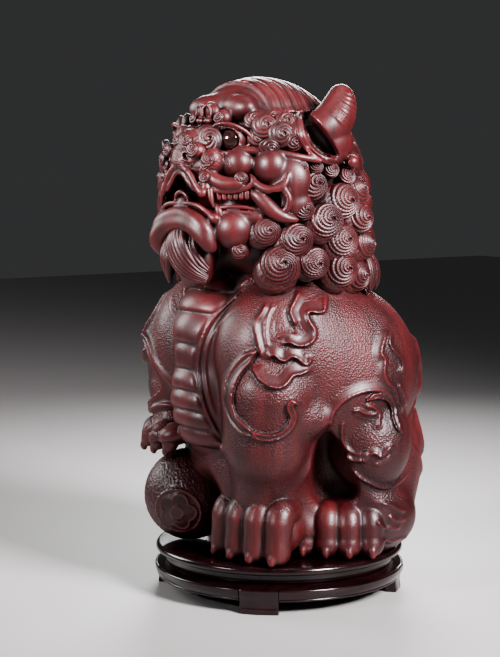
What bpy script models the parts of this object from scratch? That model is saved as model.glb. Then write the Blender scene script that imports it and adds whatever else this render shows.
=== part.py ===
"""Seated guardian lion carved from dark red rosewood, on a separate round four-footed stand.

The lion faces -Y, its left side is +X, the floor is z = 0.
"""

import math

import bmesh
import bpy
from mathutils import Matrix, Vector

# ---------------------------------------------------------------- driving dimensions (metres)
TOTAL_HEIGHT = 0.400
GAP = 0.0003

STAND_RADIUS = 0.0985
STAND_HEIGHT = 0.0360
TOP_THICKNESS = 0.0065
WAIST_RADIUS = 0.0905
WAIST_HEIGHT = 0.0070
APRON_TOP_Z = STAND_HEIGHT - TOP_THICKNESS - WAIST_HEIGHT
APRON_BOTTOM_Z = 0.0100
APRON_DEPTH = 0.0110
APRON_RADIUS = 0.0995
FOOT_WIDTH = 0.0300
FOOT_COUNT = 4
FIRST_FOOT_AZIMUTH = 45.0
PEG_RADIUS = 0.0030
PEG_DEPTH = 0.0035
RING_STEPS = 60

FIGURE_BASE_Z = STAND_HEIGHT + GAP
HEAD_TURN = 8.0
BALL_CENTRE = (-0.038, -0.060, 0.0735)
BALL_RADIUS = 0.037
EYE_CENTRE = (0.0255, -0.0735, 0.3535)
EYE_RADIUS = 0.0090

CARVE_VOXEL = 0.0032
CARVE_TRIANGLES = 7000

# ---------------------------------------------------------------- scene and collections
for old in list(bpy.data.objects):
    bpy.data.objects.remove(old, do_unlink=True)

PARTS = bpy.data.collections.new("guardian_lion")
CUTTERS = bpy.data.collections.new("cutters")
bpy.context.scene.collection.children.link(PARTS)
bpy.context.scene.collection.children.link(CUTTERS)


def wood(name, colour, roughness):
    """Principled material of one wood or stone."""
    mat = bpy.data.materials.new(name)
    mat.use_nodes = True
    shader = mat.node_tree.nodes["Principled BSDF"]
    shader.inputs["Base Color"].default_value = (*colour, 1.0)
    shader.inputs["Roughness"].default_value = roughness
    shader.inputs["Metallic"].default_value = 0.0
    return mat


CARVED_WOOD = wood("carved_rosewood", (0.150, 0.030, 0.024), 0.42)
STAND_WOOD = wood("stand_lacquered_wood", (0.030, 0.008, 0.009), 0.22)
EYE_GLASS = wood("eye_dark_glass", (0.012, 0.006, 0.006), 0.08)


# ---------------------------------------------------------------- small helpers
def add_object(name, mesh, collection, mat=None):
    """New object holding a mesh, in one collection."""
    obj = bpy.data.objects.new(name, mesh)
    collection.objects.link(obj)
    if mat:
        mesh.materials.append(mat)
    if collection is CUTTERS:
        obj.hide_render = True
        obj.display_type = "WIRE"
    return obj


def bake(obj):
    """Apply every modifier of an object to its mesh."""
    graph = bpy.context.evaluated_depsgraph_get()
    mesh = bpy.data.meshes.new_from_object(obj.evaluated_get(graph))
    obj.modifiers.clear()
    obj.data = mesh
    return obj


def boolean(obj, cutter, operation):
    """Exact boolean of one object with a cutter."""
    mod = obj.modifiers.new(operation.lower(), "BOOLEAN")
    mod.operation = operation
    mod.solver = "EXACT"
    mod.object = cutter


def shade_smooth(obj, angle=35.0):
    """Smooth shading with creases kept sharp."""
    mesh = obj.data
    mesh.polygons.foreach_set("use_smooth", [True] * len(mesh.polygons))
    bm = bmesh.new()
    bm.from_mesh(mesh)
    for edge in bm.edges:
        edge.smooth = len(edge.link_faces) == 2 and edge.calc_face_angle() < math.radians(angle)
    bm.to_mesh(mesh)
    bm.free()


def direction(azimuth):
    """Unit vector on the floor; azimuth 0 is the front (-Y), 90 the lion's left (+X)."""
    a = math.radians(azimuth)
    return Vector((math.sin(a), -math.cos(a), 0.0))


def turned(name, profile, collection, steps=RING_STEPS):
    """Solid or ring of revolution from a closed (radius, height) profile, top of the outside first."""
    mesh = bpy.data.meshes.new(name)
    points = [(r, 0.0, z) for r, z in profile]
    on_axis = profile[0][0] == 0.0
    count = len(points)
    edges = [(i, i + 1) for i in range(count - 1)]
    if not on_axis:
        edges.append((count - 1, 0))
    mesh.from_pydata(points, edges, [])
    obj = add_object(name, mesh, collection)
    mod = obj.modifiers.new("turn", "SCREW")
    mod.axis = "Z"
    mod.angle = math.tau
    mod.steps = steps
    mod.render_steps = steps
    mod.use_merge_vertices = True
    mod.merge_threshold = 0.00002
    mod.use_normal_calculate = True
    return bake(obj)


def box(name, size, place, collection):
    """Box of a given size placed by a matrix."""
    mesh = bpy.data.meshes.new(name)
    bm = bmesh.new()
    bmesh.ops.create_cube(bm, size=1.0)
    bmesh.ops.scale(bm, vec=size, verts=bm.verts)
    bmesh.ops.transform(bm, matrix=place, verts=bm.verts)
    bm.to_mesh(mesh)
    bm.free()
    return add_object(name, mesh, collection)


def rod(name, radius, low, high, spot, collection):
    """Upright round bar from one height to another."""
    mesh = bpy.data.meshes.new(name)
    bm = bmesh.new()
    bmesh.ops.create_cone(bm, cap_ends=True, segments=16, radius1=radius, radius2=radius, depth=high - low)
    bmesh.ops.translate(bm, vec=(spot.x, spot.y, (low + high) / 2), verts=bm.verts)
    bm.to_mesh(mesh)
    bm.free()
    return add_object(name, mesh, collection)


def radial_frame(azimuth, radius, height):
    """Matrix with local +X pointing outward at an azimuth and local +Z up."""
    out = direction(azimuth)
    turn = Matrix.Rotation(math.atan2(out.y, out.x), 4, "Z")
    return Matrix.Translation(out * radius + Vector((0, 0, height))) @ turn


def sector(name, start, end, side_gap, collection):
    """Wedge between two azimuths under 180 degrees apart, both sides drawn back by a gap."""
    reach = 0.30
    a = direction(start)
    b = direction(end)
    into_a = Vector((-a.y, a.x, 0.0)) * side_gap
    into_b = Vector((b.y, -b.x, 0.0)) * side_gap
    middle = direction((start + end) / 2)
    half = math.radians((end - start) / 2)
    tip = middle * (side_gap / math.sin(half))
    ring = [tip, into_a + a * reach, middle * reach * 1.6, into_b + b * reach]
    bm = bmesh.new()
    low = [bm.verts.new((p.x, p.y, -0.05)) for p in ring]
    face = bm.faces.new(low)
    grown = bmesh.ops.extrude_face_region(bm, geom=[face])
    lifted = [v for v in grown["geom"] if isinstance(v, bmesh.types.BMVert)]
    bmesh.ops.translate(bm, vec=(0, 0, 0.15), verts=lifted)
    bmesh.ops.recalc_face_normals(bm, faces=bm.faces)
    mesh = bpy.data.meshes.new(name)
    bm.to_mesh(mesh)
    bm.free()
    return add_object(name, mesh, collection)


# ---------------------------------------------------------------- stand
def top_profile():
    """Thin disc with a rounded edge."""
    low = STAND_HEIGHT - TOP_THICKNESS + GAP
    mid = (low + STAND_HEIGHT) / 2
    half = (STAND_HEIGHT - low) / 2
    nose = []
    for i in range(7):
        a = math.pi / 2 - math.pi * i / 6
        nose.append((STAND_RADIUS - half + half * math.cos(a), mid + half * math.sin(a)))
    return [(0.0, STAND_HEIGHT)] + nose + [(0.0, low)]


def apron_profile(bottom):
    """Section of the apron: sloping shoulder, full belly, flat back."""
    belly = []
    span = APRON_TOP_Z - GAP - bottom
    for i in range(1, 8):
        a = math.pi * i / 8
        belly.append((APRON_RADIUS - 0.0035 + 0.0035 * math.sin(a), APRON_TOP_Z - GAP - 0.0025 - (span - 0.0025) * i / 8))
    inner = APRON_RADIUS - APRON_DEPTH
    return [(WAIST_RADIUS - 0.0010, APRON_TOP_Z - GAP)] + belly + [(APRON_RADIUS - 0.0045, bottom), (inner, bottom), (inner, APRON_TOP_Z - GAP)]


def build_stand():
    """Top, four waist pieces, four aprons and four pegged feet."""
    foot_azimuths = [FIRST_FOOT_AZIMUTH + i * 360.0 / FOOT_COUNT for i in range(FOOT_COUNT)]
    peg_radius = WAIST_RADIUS - 0.0045
    peg_top = STAND_HEIGHT - TOP_THICKNESS + PEG_DEPTH

    top = turned("stand_top", top_profile(), PARTS, 72)
    top.data.materials.append(STAND_WOOD)
    for n, azimuth in enumerate(foot_azimuths, 1):
        hole = rod(f"top_hole_{n}", PEG_RADIUS + GAP, 0.0, peg_top + GAP, direction(azimuth) * peg_radius, CUTTERS)
        boolean(top, hole, "DIFFERENCE")
    bake(top)
    shade_smooth(top)

    waist_low = APRON_TOP_Z
    waist_high = STAND_HEIGHT - TOP_THICKNESS
    inner = WAIST_RADIUS - 0.0080
    waist_section = [(WAIST_RADIUS, waist_high), (WAIST_RADIUS, waist_low), (inner, waist_low), (inner, waist_high)]
    for n, azimuth in enumerate(foot_azimuths, 1):
        waist = turned(f"waist_{n}", waist_section, PARTS)
        waist.data.materials.append(STAND_WOOD)
        after = azimuth + 360.0 / FOOT_COUNT
        boolean(waist, sector(f"waist_cut_{n}", azimuth, after, GAP / 2, CUTTERS), "INTERSECT")
        for side, spot in (("a", azimuth), ("b", after)):
            notch = rod(f"waist_notch_{n}{side}", PEG_RADIUS + GAP, 0.0, 0.06, direction(spot) * peg_radius, CUTTERS)
            boolean(waist, notch, "DIFFERENCE")
        bake(waist)
        shade_smooth(waist)

    for n, azimuth in enumerate(foot_azimuths, 1):
        apron = turned(f"apron_{n}", apron_profile(APRON_BOTTOM_Z), PARTS)
        apron.data.materials.append(STAND_WOOD)
        after = azimuth + 360.0 / FOOT_COUNT
        boolean(apron, sector(f"apron_cut_{n}", azimuth, after, FOOT_WIDTH / 2 + GAP / 2, CUTTERS), "INTERSECT")
        bake(apron)
        shade_smooth(apron)

    for n, azimuth in enumerate(foot_azimuths, 1):
        foot = turned(f"foot_{n}", apron_profile(0.0), PARTS)
        foot.data.materials.append(STAND_WOOD)
        middle = radial_frame(azimuth, STAND_RADIUS, 0.02)
        boolean(foot, box(f"foot_cut_{n}", (0.08, FOOT_WIDTH - GAP, 0.10), middle, CUTTERS), "INTERSECT")
        peg = rod(f"foot_peg_{n}", PEG_RADIUS, APRON_TOP_Z - 0.006, peg_top, direction(azimuth) * peg_radius, CUTTERS)
        boolean(foot, peg, "UNION")
        bake(foot)
        shade_smooth(foot)


# ---------------------------------------------------------------- carved figure
HEAD = Matrix.Rotation(math.radians(HEAD_TURN), 4, "Z")
BODY = Matrix.Identity(4)

# Each mass: centre and radii in millimetres, tilt in degrees about X, Y, Z, mirrored or not.
BODY_MASSES = (
    ((0, 19, 168), (97, 93, 80), (0, 0, 0), False),
    ((0, 16, 98), (92, 88, 84), (0, 0, 0), False),
    ((0, 14, 66), (66, 62, 50), (0, 0, 0), False),
    ((0, 0, 246), (66, 60, 32), (0, 0, 0), False),
    ((54, 18, 178), (46, 62, 64), (0, 0, 0), True),
    ((48, -24, 194), (46, 60, 60), (0, 0, -10), True),
    ((0, -32, 200), (46, 58, 60), (0, 0, 0), False),
    ((0, -42, 160), (43, 50, 62), (0, 0, 0), False),
    ((58, 36, 66), (40, 48, 38), (0, 0, 20), True),
    ((77, 31, 123), (31, 33, 38), (0, 0, 20), True),
    ((46, 60, 92), (34, 36, 52), (0, 0, 0), True),
    ((0, 100, 96), (14, 12, 52), (0, 0, 0), False),
    ((12, 99, 142), (12, 10, 20), (0, 0, 0), True),
    ((30, 94, 96), (12, 11, 28), (0, 0, 0), True),
)
LIMBS = (
    ((57, -50, 164), 36, (54, -51, 127), 33),
    ((54, -51, 128), 32.5, (46, -48, 80), 27),
    ((-66, -44, 190), 35, (-64, -52, 158), 26),
    ((-64, -54, 158), 21, (-56, -64, 128), 17),
    ((72, 48, 60), 22, (70, 22, 58), 22),
    ((-72, 48, 60), 22, (-70, 22, 58), 22),
)
HEAD_MASSES = (
    ((0, -8, 330), (68, 70, 60), (0, 0, 0), False),
    ((0, -10, 285), (82, 74, 46), (0, 0, 0), False),
    ((0, -18, 369), (46, 48, 31), (-6, 0, 0), False),
    ((0, -62, 343), (36, 30, 24), (0, 0, 0), False),
    ((0, -80, 334), (31, 22, 15), (0, 0, 0), False),
    ((15, -57, 377), (20, 12, 11), (18, 0, -14), True),
    ((36, -55, 369), (14, 10, 8), (0, 20, -30), True),
    ((0, -90, 350), (14, 13, 12), (0, 0, 0), False),
    ((0, -96, 341), (17, 10, 10), (0, 0, 0), False),
    ((24, -91, 338), (8, 8, 10), (0, 0, 0), True),
    ((13, -82, 354), (10, 8, 10), (0, 0, 0), True),
    ((34, -75, 336), (12.5, 12, 12.5), (0, 0, 0), True),
    ((54, -61, 334), (13.5, 12.5, 14.5), (0, 0, 0), True),
    ((65, -53, 324), (10, 16, 17), (0, 0, -42), True),
    ((64, -50, 307), (10, 15, 13), (0, 0, -42), True),
    ((0, -72, 374), (10, 7, 8), (0, 0, 0), False),
    ((0, -76, 288), (38, 25, 13), (0, 0, 0), False),
    ((34, -80, 288), (15.5, 15, 15.5), (0, 0, 0), True),
    ((0, -90, 264), (27, 17, 25), (0, 0, 0), False),
    ((0, -40, 306), (42, 34, 22), (0, 0, 0), False),
    ((63, -18, 352), (19, 24, 21), (0, 0, -30), True),
)
HEAD_LIMBS = (
    ((40, -54, 358), 14, (60, -37, 356), 15),
    ((68, -24, 360), 13, (71, -13, 368), 13.5),
    ((71, -13, 368), 13.5, (70, -6, 377), 11.5),
    ((70, -6, 377), 11.5, (66.5, -1, 388), 6.4),
    ((24, -97, 276), 8, (18, -100, 290), 9),
    ((18, -100, 290), 9, (0, -97, 296), 9),
    ((46, -72, 314), 4, (66, -60, 298), 4),
)
# Mane curls: crown of each curl on the side of the head and its radius, millimetres.
CURLS = (
    ((78, -39, 320), 11), ((87, -14, 308), 14), ((79, 14, 316), 12), ((76, -48, 302), 9), ((86, -33, 293), 14),
    ((91, -19, 277), 13), ((91, 2, 295), 12), ((86, 15, 273), 13), ((85, -45, 262), 12), ((90, -18, 255), 13),
    ((86, 6, 249), 12), ((66, 35, 305), 15), ((61, 43, 278), 16), ((47, 53, 320), 15), ((41, 60, 291), 16),
    ((22, 66, 308), 15), ((20, 68, 278), 16), ((75, 30, 250), 14), ((48, 54, 253), 16), ((18, 64, 250), 15),
    ((19, 59, 335), 15), ((42, 44, 344), 14), ((61, 26, 340), 13),
)
# Curls at the front edge of the mane; the head turns, so the two sides differ.
FRONT_CURLS = (
    ((62, -74, 286), 11), ((78, -58, 279), 13), ((71, -68, 260), 16),
    ((-60, -60, 288), 11), ((-74, -46, 281), 13), ((-68, -50, 261), 15),
)
# Paws: centre, azimuth, width, reach and toe length, millimetres and degrees.
PAWS = (
    ((41, -43), 15.0, 74.0, 13.0, 14.0),
    ((62, 12), 50.0, 71.0, 12.0, 13.0),
    ((-62, 12), -50.0, 71.0, 12.0, 13.0),
)


def blob(bm, centre, radii, tilt, group):
    """Ellipsoid added to the block, millimetres and degrees."""
    turn = Matrix.Rotation(math.radians(tilt[2]), 4, "Z")
    turn = turn @ Matrix.Rotation(math.radians(tilt[1]), 4, "Y")
    turn = turn @ Matrix.Rotation(math.radians(tilt[0]), 4, "X")
    size = Matrix.Diagonal((radii[0] / 1000, radii[1] / 1000, radii[2] / 1000, 1.0))
    place = group @ Matrix.Translation(Vector(centre) / 1000) @ turn @ size
    bmesh.ops.create_uvsphere(bm, u_segments=24, v_segments=16, radius=1.0, matrix=place)


def limb(bm, start, start_radius, end, end_radius, group):
    """Tapering rounded bar between two points, millimetres."""
    a = Vector(start) / 1000
    b = Vector(end) / 1000
    axis = b - a
    turn = axis.to_track_quat("Z", "Y").to_matrix().to_4x4()
    place = group @ Matrix.Translation((a + b) / 2) @ turn
    bmesh.ops.create_cone(bm, cap_ends=True, segments=24, radius1=start_radius / 1000,
                          radius2=end_radius / 1000, depth=axis.length, matrix=place)
    blob(bm, start, (start_radius,) * 3, (0, 0, 0), group)
    blob(bm, end, (end_radius,) * 3, (0, 0, 0), group)


def curl(bm, crown, radius):
    """Round curl whose crown lies on the mane's egg-shaped outside, millimetres."""
    out = Vector((crown[0] / 86**2, (crown[1] + 10) / 78**2, (crown[2] - 292) / 110**2)).normalized()
    blob(bm, Vector(crown) - out * radius * 0.85, (radius,) * 3, (0, 0, 0), HEAD)


def sides(mirrored):
    """Signs of the sides a mass is repeated on."""
    return (1, -1) if mirrored else (1,)


def paw(bm, centre, azimuth, width, reach, toe):
    """Broad pad with four rounded toes in a row."""
    out = direction(azimuth)
    along = Vector((-out.y, out.x, 0.0))
    middle = Vector((centre[0], centre[1], 0.0))
    blob(bm, (*middle.xy, 56), (width / 2, reach + 8, 24), (0, 0, azimuth), BODY)
    for i in range(4):
        shift = (i - 1.5) * width / 4.4
        bow = reach - 0.16 * abs(i - 1.5) * toe
        spot = middle + along * shift + out * bow
        blob(bm, (*spot.xy, 57), (width / 7.4, toe, 22), (0, 0, azimuth), BODY)
        blob(bm, (*(spot + out).xy, 47), (width / 7.6, toe - 1, 16), (0, 0, azimuth), BODY)


def build_figure():
    """The lion with its ball, one carved block with a flat underside."""
    bm = bmesh.new()
    for group, masses in ((BODY, BODY_MASSES), (HEAD, HEAD_MASSES)):
        for (x, y, z), radii, (tx, ty, tz), mirrored in masses:
            for side in sides(mirrored):
                blob(bm, (x * side, y, z), radii, (tx, ty * side, tz * side), group)
    for start, start_radius, end, end_radius in LIMBS:
        limb(bm, start, start_radius, end, end_radius, BODY)
    for (x0, y0, z0), start_radius, (x1, y1, z1), end_radius in HEAD_LIMBS:
        for side in (1, -1):
            limb(bm, (x0 * side, y0, z0), start_radius, (x1 * side, y1, z1), end_radius, HEAD)
    for crown, radius in CURLS:
        for side in (1, -1):
            curl(bm, (crown[0] * side, crown[1], crown[2]), radius)
    for crown, radius in FRONT_CURLS:
        curl(bm, crown, radius)
    for entry in PAWS:
        paw(bm, *entry)
    ball = tuple(v * 1000 for v in BALL_CENTRE)
    blob(bm, ball, (BALL_RADIUS * 1000,) * 3, (0, 0, 0), BODY)
    for i in range(4):
        blob(bm, (-66 + i * 8, -74 - i * 5, 116 - i), (6, 11, 10), (-30, 0, -30), BODY)

    mesh = bpy.data.meshes.new("lion_figure")
    bm.to_mesh(mesh)
    bm.free()
    lion = add_object("lion_figure", mesh, PARTS, CARVED_WOOD)
    remesh = lion.modifiers.new("block", "REMESH")
    remesh.mode = "VOXEL"
    remesh.voxel_size = CARVE_VOXEL
    soften = lion.modifiers.new("soften", "SMOOTH")
    soften.factor = 0.5
    soften.iterations = 2
    bake(lion)

    faces = sum(len(p.vertices) - 2 for p in lion.data.polygons)
    thin = lion.modifiers.new("thin", "DECIMATE")
    thin.ratio = CARVE_TRIANGLES / faces
    floor = box("figure_floor", (0.4, 0.4, 0.2), Matrix.Translation((0, 0, FIGURE_BASE_Z - 0.1)), CUTTERS)
    boolean(lion, floor, "DIFFERENCE")
    for side, name in ((1, "left"), (-1, "right")):
        centre = HEAD @ Vector((EYE_CENTRE[0] * side, EYE_CENTRE[1], EYE_CENTRE[2]))
        socket = ball_object(f"eye_socket_{name}", centre, EYE_RADIUS + GAP, CUTTERS)
        boolean(lion, socket, "DIFFERENCE")
        eye = ball_object(f"eye_{name}", centre, EYE_RADIUS, PARTS)
        eye.data.materials.append(EYE_GLASS)
        shade_smooth(eye, 60.0)
    bake(lion)
    lion.data.materials.clear()
    lion.data.materials.append(CARVED_WOOD)
    shade_smooth(lion, 60.0)


def ball_object(name, centre, radius, collection):
    """Sphere as an object of its own."""
    mesh = bpy.data.meshes.new(name)
    bm = bmesh.new()
    bmesh.ops.create_uvsphere(bm, u_segments=16, v_segments=10, radius=radius)
    bm.to_mesh(mesh)
    bm.free()
    obj = add_object(name, mesh, collection)
    obj.location = centre
    return obj


build_stand()
build_figure()
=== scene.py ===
"""Looks of a carved rosewood guardian lion on a lacquered round stand.

The pieces are modelled in millimetres, which add_mesh scales. The camera, lights and floor are in
metres, as are lengths inside the materials.
"""

import math

import bpy
import numpy as np
import openvdb
from mathutils import Matrix, Vector


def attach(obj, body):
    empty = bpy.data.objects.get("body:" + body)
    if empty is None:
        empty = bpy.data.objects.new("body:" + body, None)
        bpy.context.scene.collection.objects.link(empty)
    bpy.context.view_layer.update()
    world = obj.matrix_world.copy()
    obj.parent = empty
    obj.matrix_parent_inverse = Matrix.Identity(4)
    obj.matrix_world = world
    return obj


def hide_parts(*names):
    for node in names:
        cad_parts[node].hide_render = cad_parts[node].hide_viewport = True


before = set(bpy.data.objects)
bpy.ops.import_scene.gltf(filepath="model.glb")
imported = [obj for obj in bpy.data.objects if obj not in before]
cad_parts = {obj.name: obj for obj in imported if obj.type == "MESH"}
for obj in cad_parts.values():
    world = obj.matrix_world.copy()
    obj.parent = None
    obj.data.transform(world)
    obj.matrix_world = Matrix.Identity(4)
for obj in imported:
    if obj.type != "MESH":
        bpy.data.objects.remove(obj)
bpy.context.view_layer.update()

MM = 0.001
FIGURE = "figure"
STAND = "stand"
BASE_Z = 36.3  # underside of the figure, a hair above the stand
HEAD_TURN = 8.0  # degrees to the lion's left
COS_H = math.cos(math.radians(HEAD_TURN))
SIN_H = math.sin(math.radians(HEAD_TURN))


# ---- small vector helpers
def vec(*v):
    return np.array(v, dtype=np.float64)


def unit(v):
    """Vector, or each row of an array, brought to length 1."""
    v = np.asarray(v, dtype=np.float64)
    return v / np.maximum(np.linalg.norm(v, axis=-1, keepdims=True), 1e-9)


def head_point(p):
    """Point given in the head's own frame, in the object's frame: the head turns to the lion's left."""
    x, y, z = p
    return vec(x * COS_H - y * SIN_H, x * SIN_H + y * COS_H, z)


def head_level(x, y):
    """Level coordinates, in the head's own frame, of a point in the object's frame."""
    return x * COS_H + y * SIN_H, -x * SIN_H + y * COS_H


def spin(rx, ry, rz):
    """Rotation matrix from degrees about X, then Y, then Z."""
    m = Matrix.Rotation(math.radians(rz), 3, "Z") @ Matrix.Rotation(math.radians(ry), 3, "Y")
    return np.array(m @ Matrix.Rotation(math.radians(rx), 3, "X"))


def smooth_line(points, per_span):
    """Catmull-Rom curve through control points of any dimension."""
    p = np.asarray(points, dtype=np.float64)
    q = np.vstack([2 * p[0] - p[1], p, 2 * p[-1] - p[-2]])
    t = (np.arange(per_span) / per_span)[:, None]
    spans = []
    for i in range(len(p) - 1):
        a, b, c, d = q[i : i + 4]
        bend = (2 * a - 5 * b + 4 * c - d) * t**2 + (3 * b - a - 3 * c + d) * t**3
        spans.append(0.5 * (2 * b + (c - a) * t + bend))
    return np.vstack([*spans, p[-1:]])


def ease(edge0, edge1, x):
    """Smooth step from 0 at edge0 to 1 at edge1."""
    t = np.clip((x - edge0) / (edge1 - edge0), 0.0, 1.0)
    return t * t * (3 - 2 * t)


# ---- mesh making
def placed(name, data):
    """New object in the scene."""
    obj = bpy.data.objects.new(name, data)
    bpy.context.scene.collection.objects.link(obj)
    return obj


def add_mesh(name, verts, faces, mat, body, cavity=0.5, punch=0.0):
    """Smooth object from millimetre vertices and faces; cavity steers the painted shade and worn ridges of
    its material, punch its dents.
    """
    mesh = bpy.data.meshes.new(name)
    mesh.from_pydata(np.asarray(verts, dtype=np.float32) * MM, [], faces, shade_flat=False)
    for key, values in (("cavity", cavity), ("punch", punch)):
        layer = mesh.attributes.new(key, "FLOAT", "POINT")
        layer.data.foreach_set("value", np.broadcast_to(values, len(verts)).astype(np.float32))
    mesh.materials.append(mat)
    obj = placed(name, mesh)
    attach(obj, body)
    return obj


class Patchwork(list):
    """Many small closed shells, each (vertices, quads, cavity), gathered into one piece of the figure."""

    def build(self, name, punch=0.0):
        verts, quads, cavity = zip(*self)
        starts = np.cumsum([0] + [len(v) for v in verts])
        quads = np.vstack([q + start for q, start in zip(quads, starts)])
        return add_mesh(name, np.vstack(verts), quads, WOOD, FIGURE, np.concatenate(cavity), punch)


def grid_quads(rows, cols):
    """Quads of a rows x cols vertex grid, its columns joined round."""
    r = np.arange(rows - 1)[:, None] * cols
    c = np.arange(cols)[None, :]
    n = (c + 1) % cols
    return np.stack([r + c, r + n, r + cols + n, r + cols + c], axis=-1).reshape(-1, 4)


def closed_tube(rows, spine):
    """Vertices of rings round a spine, drawn together at its two ends."""
    first, last = (np.repeat(spine[[i]], rows.shape[1], axis=0)[None] for i in (0, -1))
    return np.concatenate([first, rows, last]).reshape(-1, 3)


def ball_directions(rings, sides, pole):
    """Unit vectors of a ball's vertex grid, from top to bottom."""
    lat = np.linspace(pole, math.pi - pole, rings)[:, None]
    lon = np.linspace(0, math.tau, sides, endpoint=False)[None, :]
    dirs = [np.sin(lat) * np.cos(lon), np.sin(lat) * np.sin(lon), np.cos(lat) + 0 * lon]
    return np.stack(dirs, axis=-1).reshape(-1, 3)


# ---- clay: distance field on a grid
class Clay:
    """Signed distance field in millimetres, in which masses are joined and cut with soft seams.

    Masses are given for the left side, and `both` repeats them mirrored for the right.
    """

    side = 1
    turn = 0.0
    far = 40.0  # distance held where nothing has been modelled

    def __init__(self, low, high, voxel):
        self.voxel = voxel
        self.low = np.array(low, dtype=np.float32)
        self.axes = [np.arange(low[i], high[i] + voxel, voxel, dtype=np.float32) for i in range(3)]
        self.field = np.full([len(a) for a in self.axes], self.far, dtype=np.float32)

    def both(self):
        """Work on the left side, then on the right, and come back to the left."""
        for self.side in (1, -1):
            yield self.side
        self.side = 1

    def place(self, p):
        """Where a point given for the left side lies on the side being worked."""
        return vec(self.side * p[0], p[1], p[2])

    def window(self, low, high):
        """Slices of the grid inside a box, and its three axes there."""
        spans = []
        for i in range(3):
            start = int(max(0, math.floor((low[i] - self.low[i]) / self.voxel)))
            stop = int(min(len(self.axes[i]), math.ceil((high[i] - self.low[i]) / self.voxel) + 1))
            spans.append(slice(start, max(start, stop)))
        x = self.axes[0][spans[0]][:, None, None]
        y = self.axes[1][spans[1]][None, :, None]
        z = self.axes[2][spans[2]][None, None, :]
        return tuple(spans), x, y, z

    def merge(self, spans, d, k, cut):
        """Join a distance to the field, or cut it out, with a seam k wide."""
        old = self.field[spans]
        if cut:
            h = np.maximum(k - np.abs(old + d), 0.0)
            self.field[spans] = np.maximum(old, -d) + h * h / (4 * k)
        else:
            h = np.maximum(k - np.abs(old - d), 0.0)
            self.field[spans] = np.minimum(old, d) - h * h / (4 * k)

    def blob(self, centre, radii, tilt=(0, 0, 0), *, k, cut=False):
        """Ellipsoid, tilted by degrees about X, Y and Z."""
        c = self.place(centre)
        r = vec(*radii)
        rot = spin(tilt[0], self.side * tilt[1], self.side * tilt[2] + self.turn)
        reach = np.sqrt(((rot * r[None, :]) ** 2).sum(axis=1)) + k + 3 * self.voxel
        spans, x, y, z = self.window(c - reach, c + reach)
        x, y, z = x - c[0], y - c[1], z - c[2]
        local = [(rot[0, i] * x + rot[1, i] * y + rot[2, i] * z).astype(np.float32) for i in range(3)]
        k0 = np.sqrt(sum((local[i] / r[i]) ** 2 for i in range(3)))
        k1 = np.sqrt(sum((local[i] / r[i] ** 2) ** 2 for i in range(3)))
        d = np.where(k0 < 0.15, -r.min() * 0.85, k0 * (k0 - 1) / np.maximum(k1, 1e-6))
        self.merge(spans, d.astype(np.float32), k, cut)

    def bar(self, a, ra, b, rb, k, cut=False):
        """Tapering round bar."""
        a, b = self.place(a), self.place(b)
        reach = max(ra, rb) + k + 3 * self.voxel
        spans, x, y, z = self.window(np.minimum(a, b) - reach, np.maximum(a, b) + reach)
        ab = b - a
        t = (x - a[0]) * ab[0] + (y - a[1]) * ab[1] + (z - a[2]) * ab[2]
        t = np.clip(t / max(ab @ ab, 1e-9), 0, 1)
        dx, dy, dz = (axis - a[i] - t * ab[i] for i, axis in enumerate((x, y, z)))
        d = np.sqrt(dx**2 + dy**2 + dz**2)
        self.merge(spans, (d - (ra + (rb - ra) * t)).astype(np.float32), k, cut)

    def chain(self, points, radii, k, cut=False, spans=6):
        """Bar along a smooth line with a radius at each control point."""
        line = smooth_line([(*p, r) for p, r in zip(points, radii)], spans)
        for s, e in zip(line[:-1], line[1:]):
            self.bar(s[:3], s[3], e[:3], e[3], k, cut)

    def shell(self, thickness):
        """Indices and positions of the grid points close to the surface."""
        near = np.nonzero(np.abs(self.field) < thickness)
        pos = np.stack([self.axes[i][near[i]] for i in range(3)], axis=1)
        return near, pos

    def floor(self, z):
        """Cut everything under a level flat."""
        self.field = np.maximum(self.field, z - self.axes[2][None, None, :])

    def drop(self, point, normal, reach=16.0):
        """First place on the surface met when coming in from outside against a normal."""
        n = unit(normal)
        for step in np.arange(reach, -reach, -0.3):
            p = point + n * step
            spot = tuple(int(round((p[i] - self.low[i]) / self.voxel)) for i in range(3))
            if all(0 <= spot[i] < self.field.shape[i] for i in range(3)) and self.field[spot] < 0:
                return p
        return np.asarray(point)

    def surface(self):
        """Vertices and quads of the surface, lightly smoothed, facing out."""
        width = 3 * self.voxel
        field = openvdb.FloatGrid(width)
        field.copyFromArray(np.clip(self.field, -width, width))
        verts, quads = field.convertToQuads(0.0)
        verts = verts.astype(np.float64) * self.voxel + self.low
        quads = quads.astype(np.int64)
        a, b, c, d = (verts[quads[:, i]] for i in range(4))
        if np.einsum("ij,ij->i", a, np.cross(b, c) + np.cross(c, d)).sum() < 0:
            quads = quads[:, ::-1].copy()
        return relax(verts, quads, 0.5), quads


def gather(index, values, count):
    """Sum of the rows of values that share an index."""
    return np.stack([np.bincount(index, values[:, axis], count) for axis in range(3)], axis=1)


def relax(verts, quads, amount):
    """One round of smoothing towards each vertex's neighbours."""
    total = np.zeros_like(verts)
    count = np.zeros(len(verts))
    for i in range(4):
        a, b = quads[:, i], quads[:, (i + 1) % 4]
        total += gather(a, verts[b], len(verts)) + gather(b, verts[a], len(verts))
        count += np.bincount(a, minlength=len(verts)) + np.bincount(b, minlength=len(verts))
    return verts + (total / np.maximum(count, 1)[:, None] - verts) * amount


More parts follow.
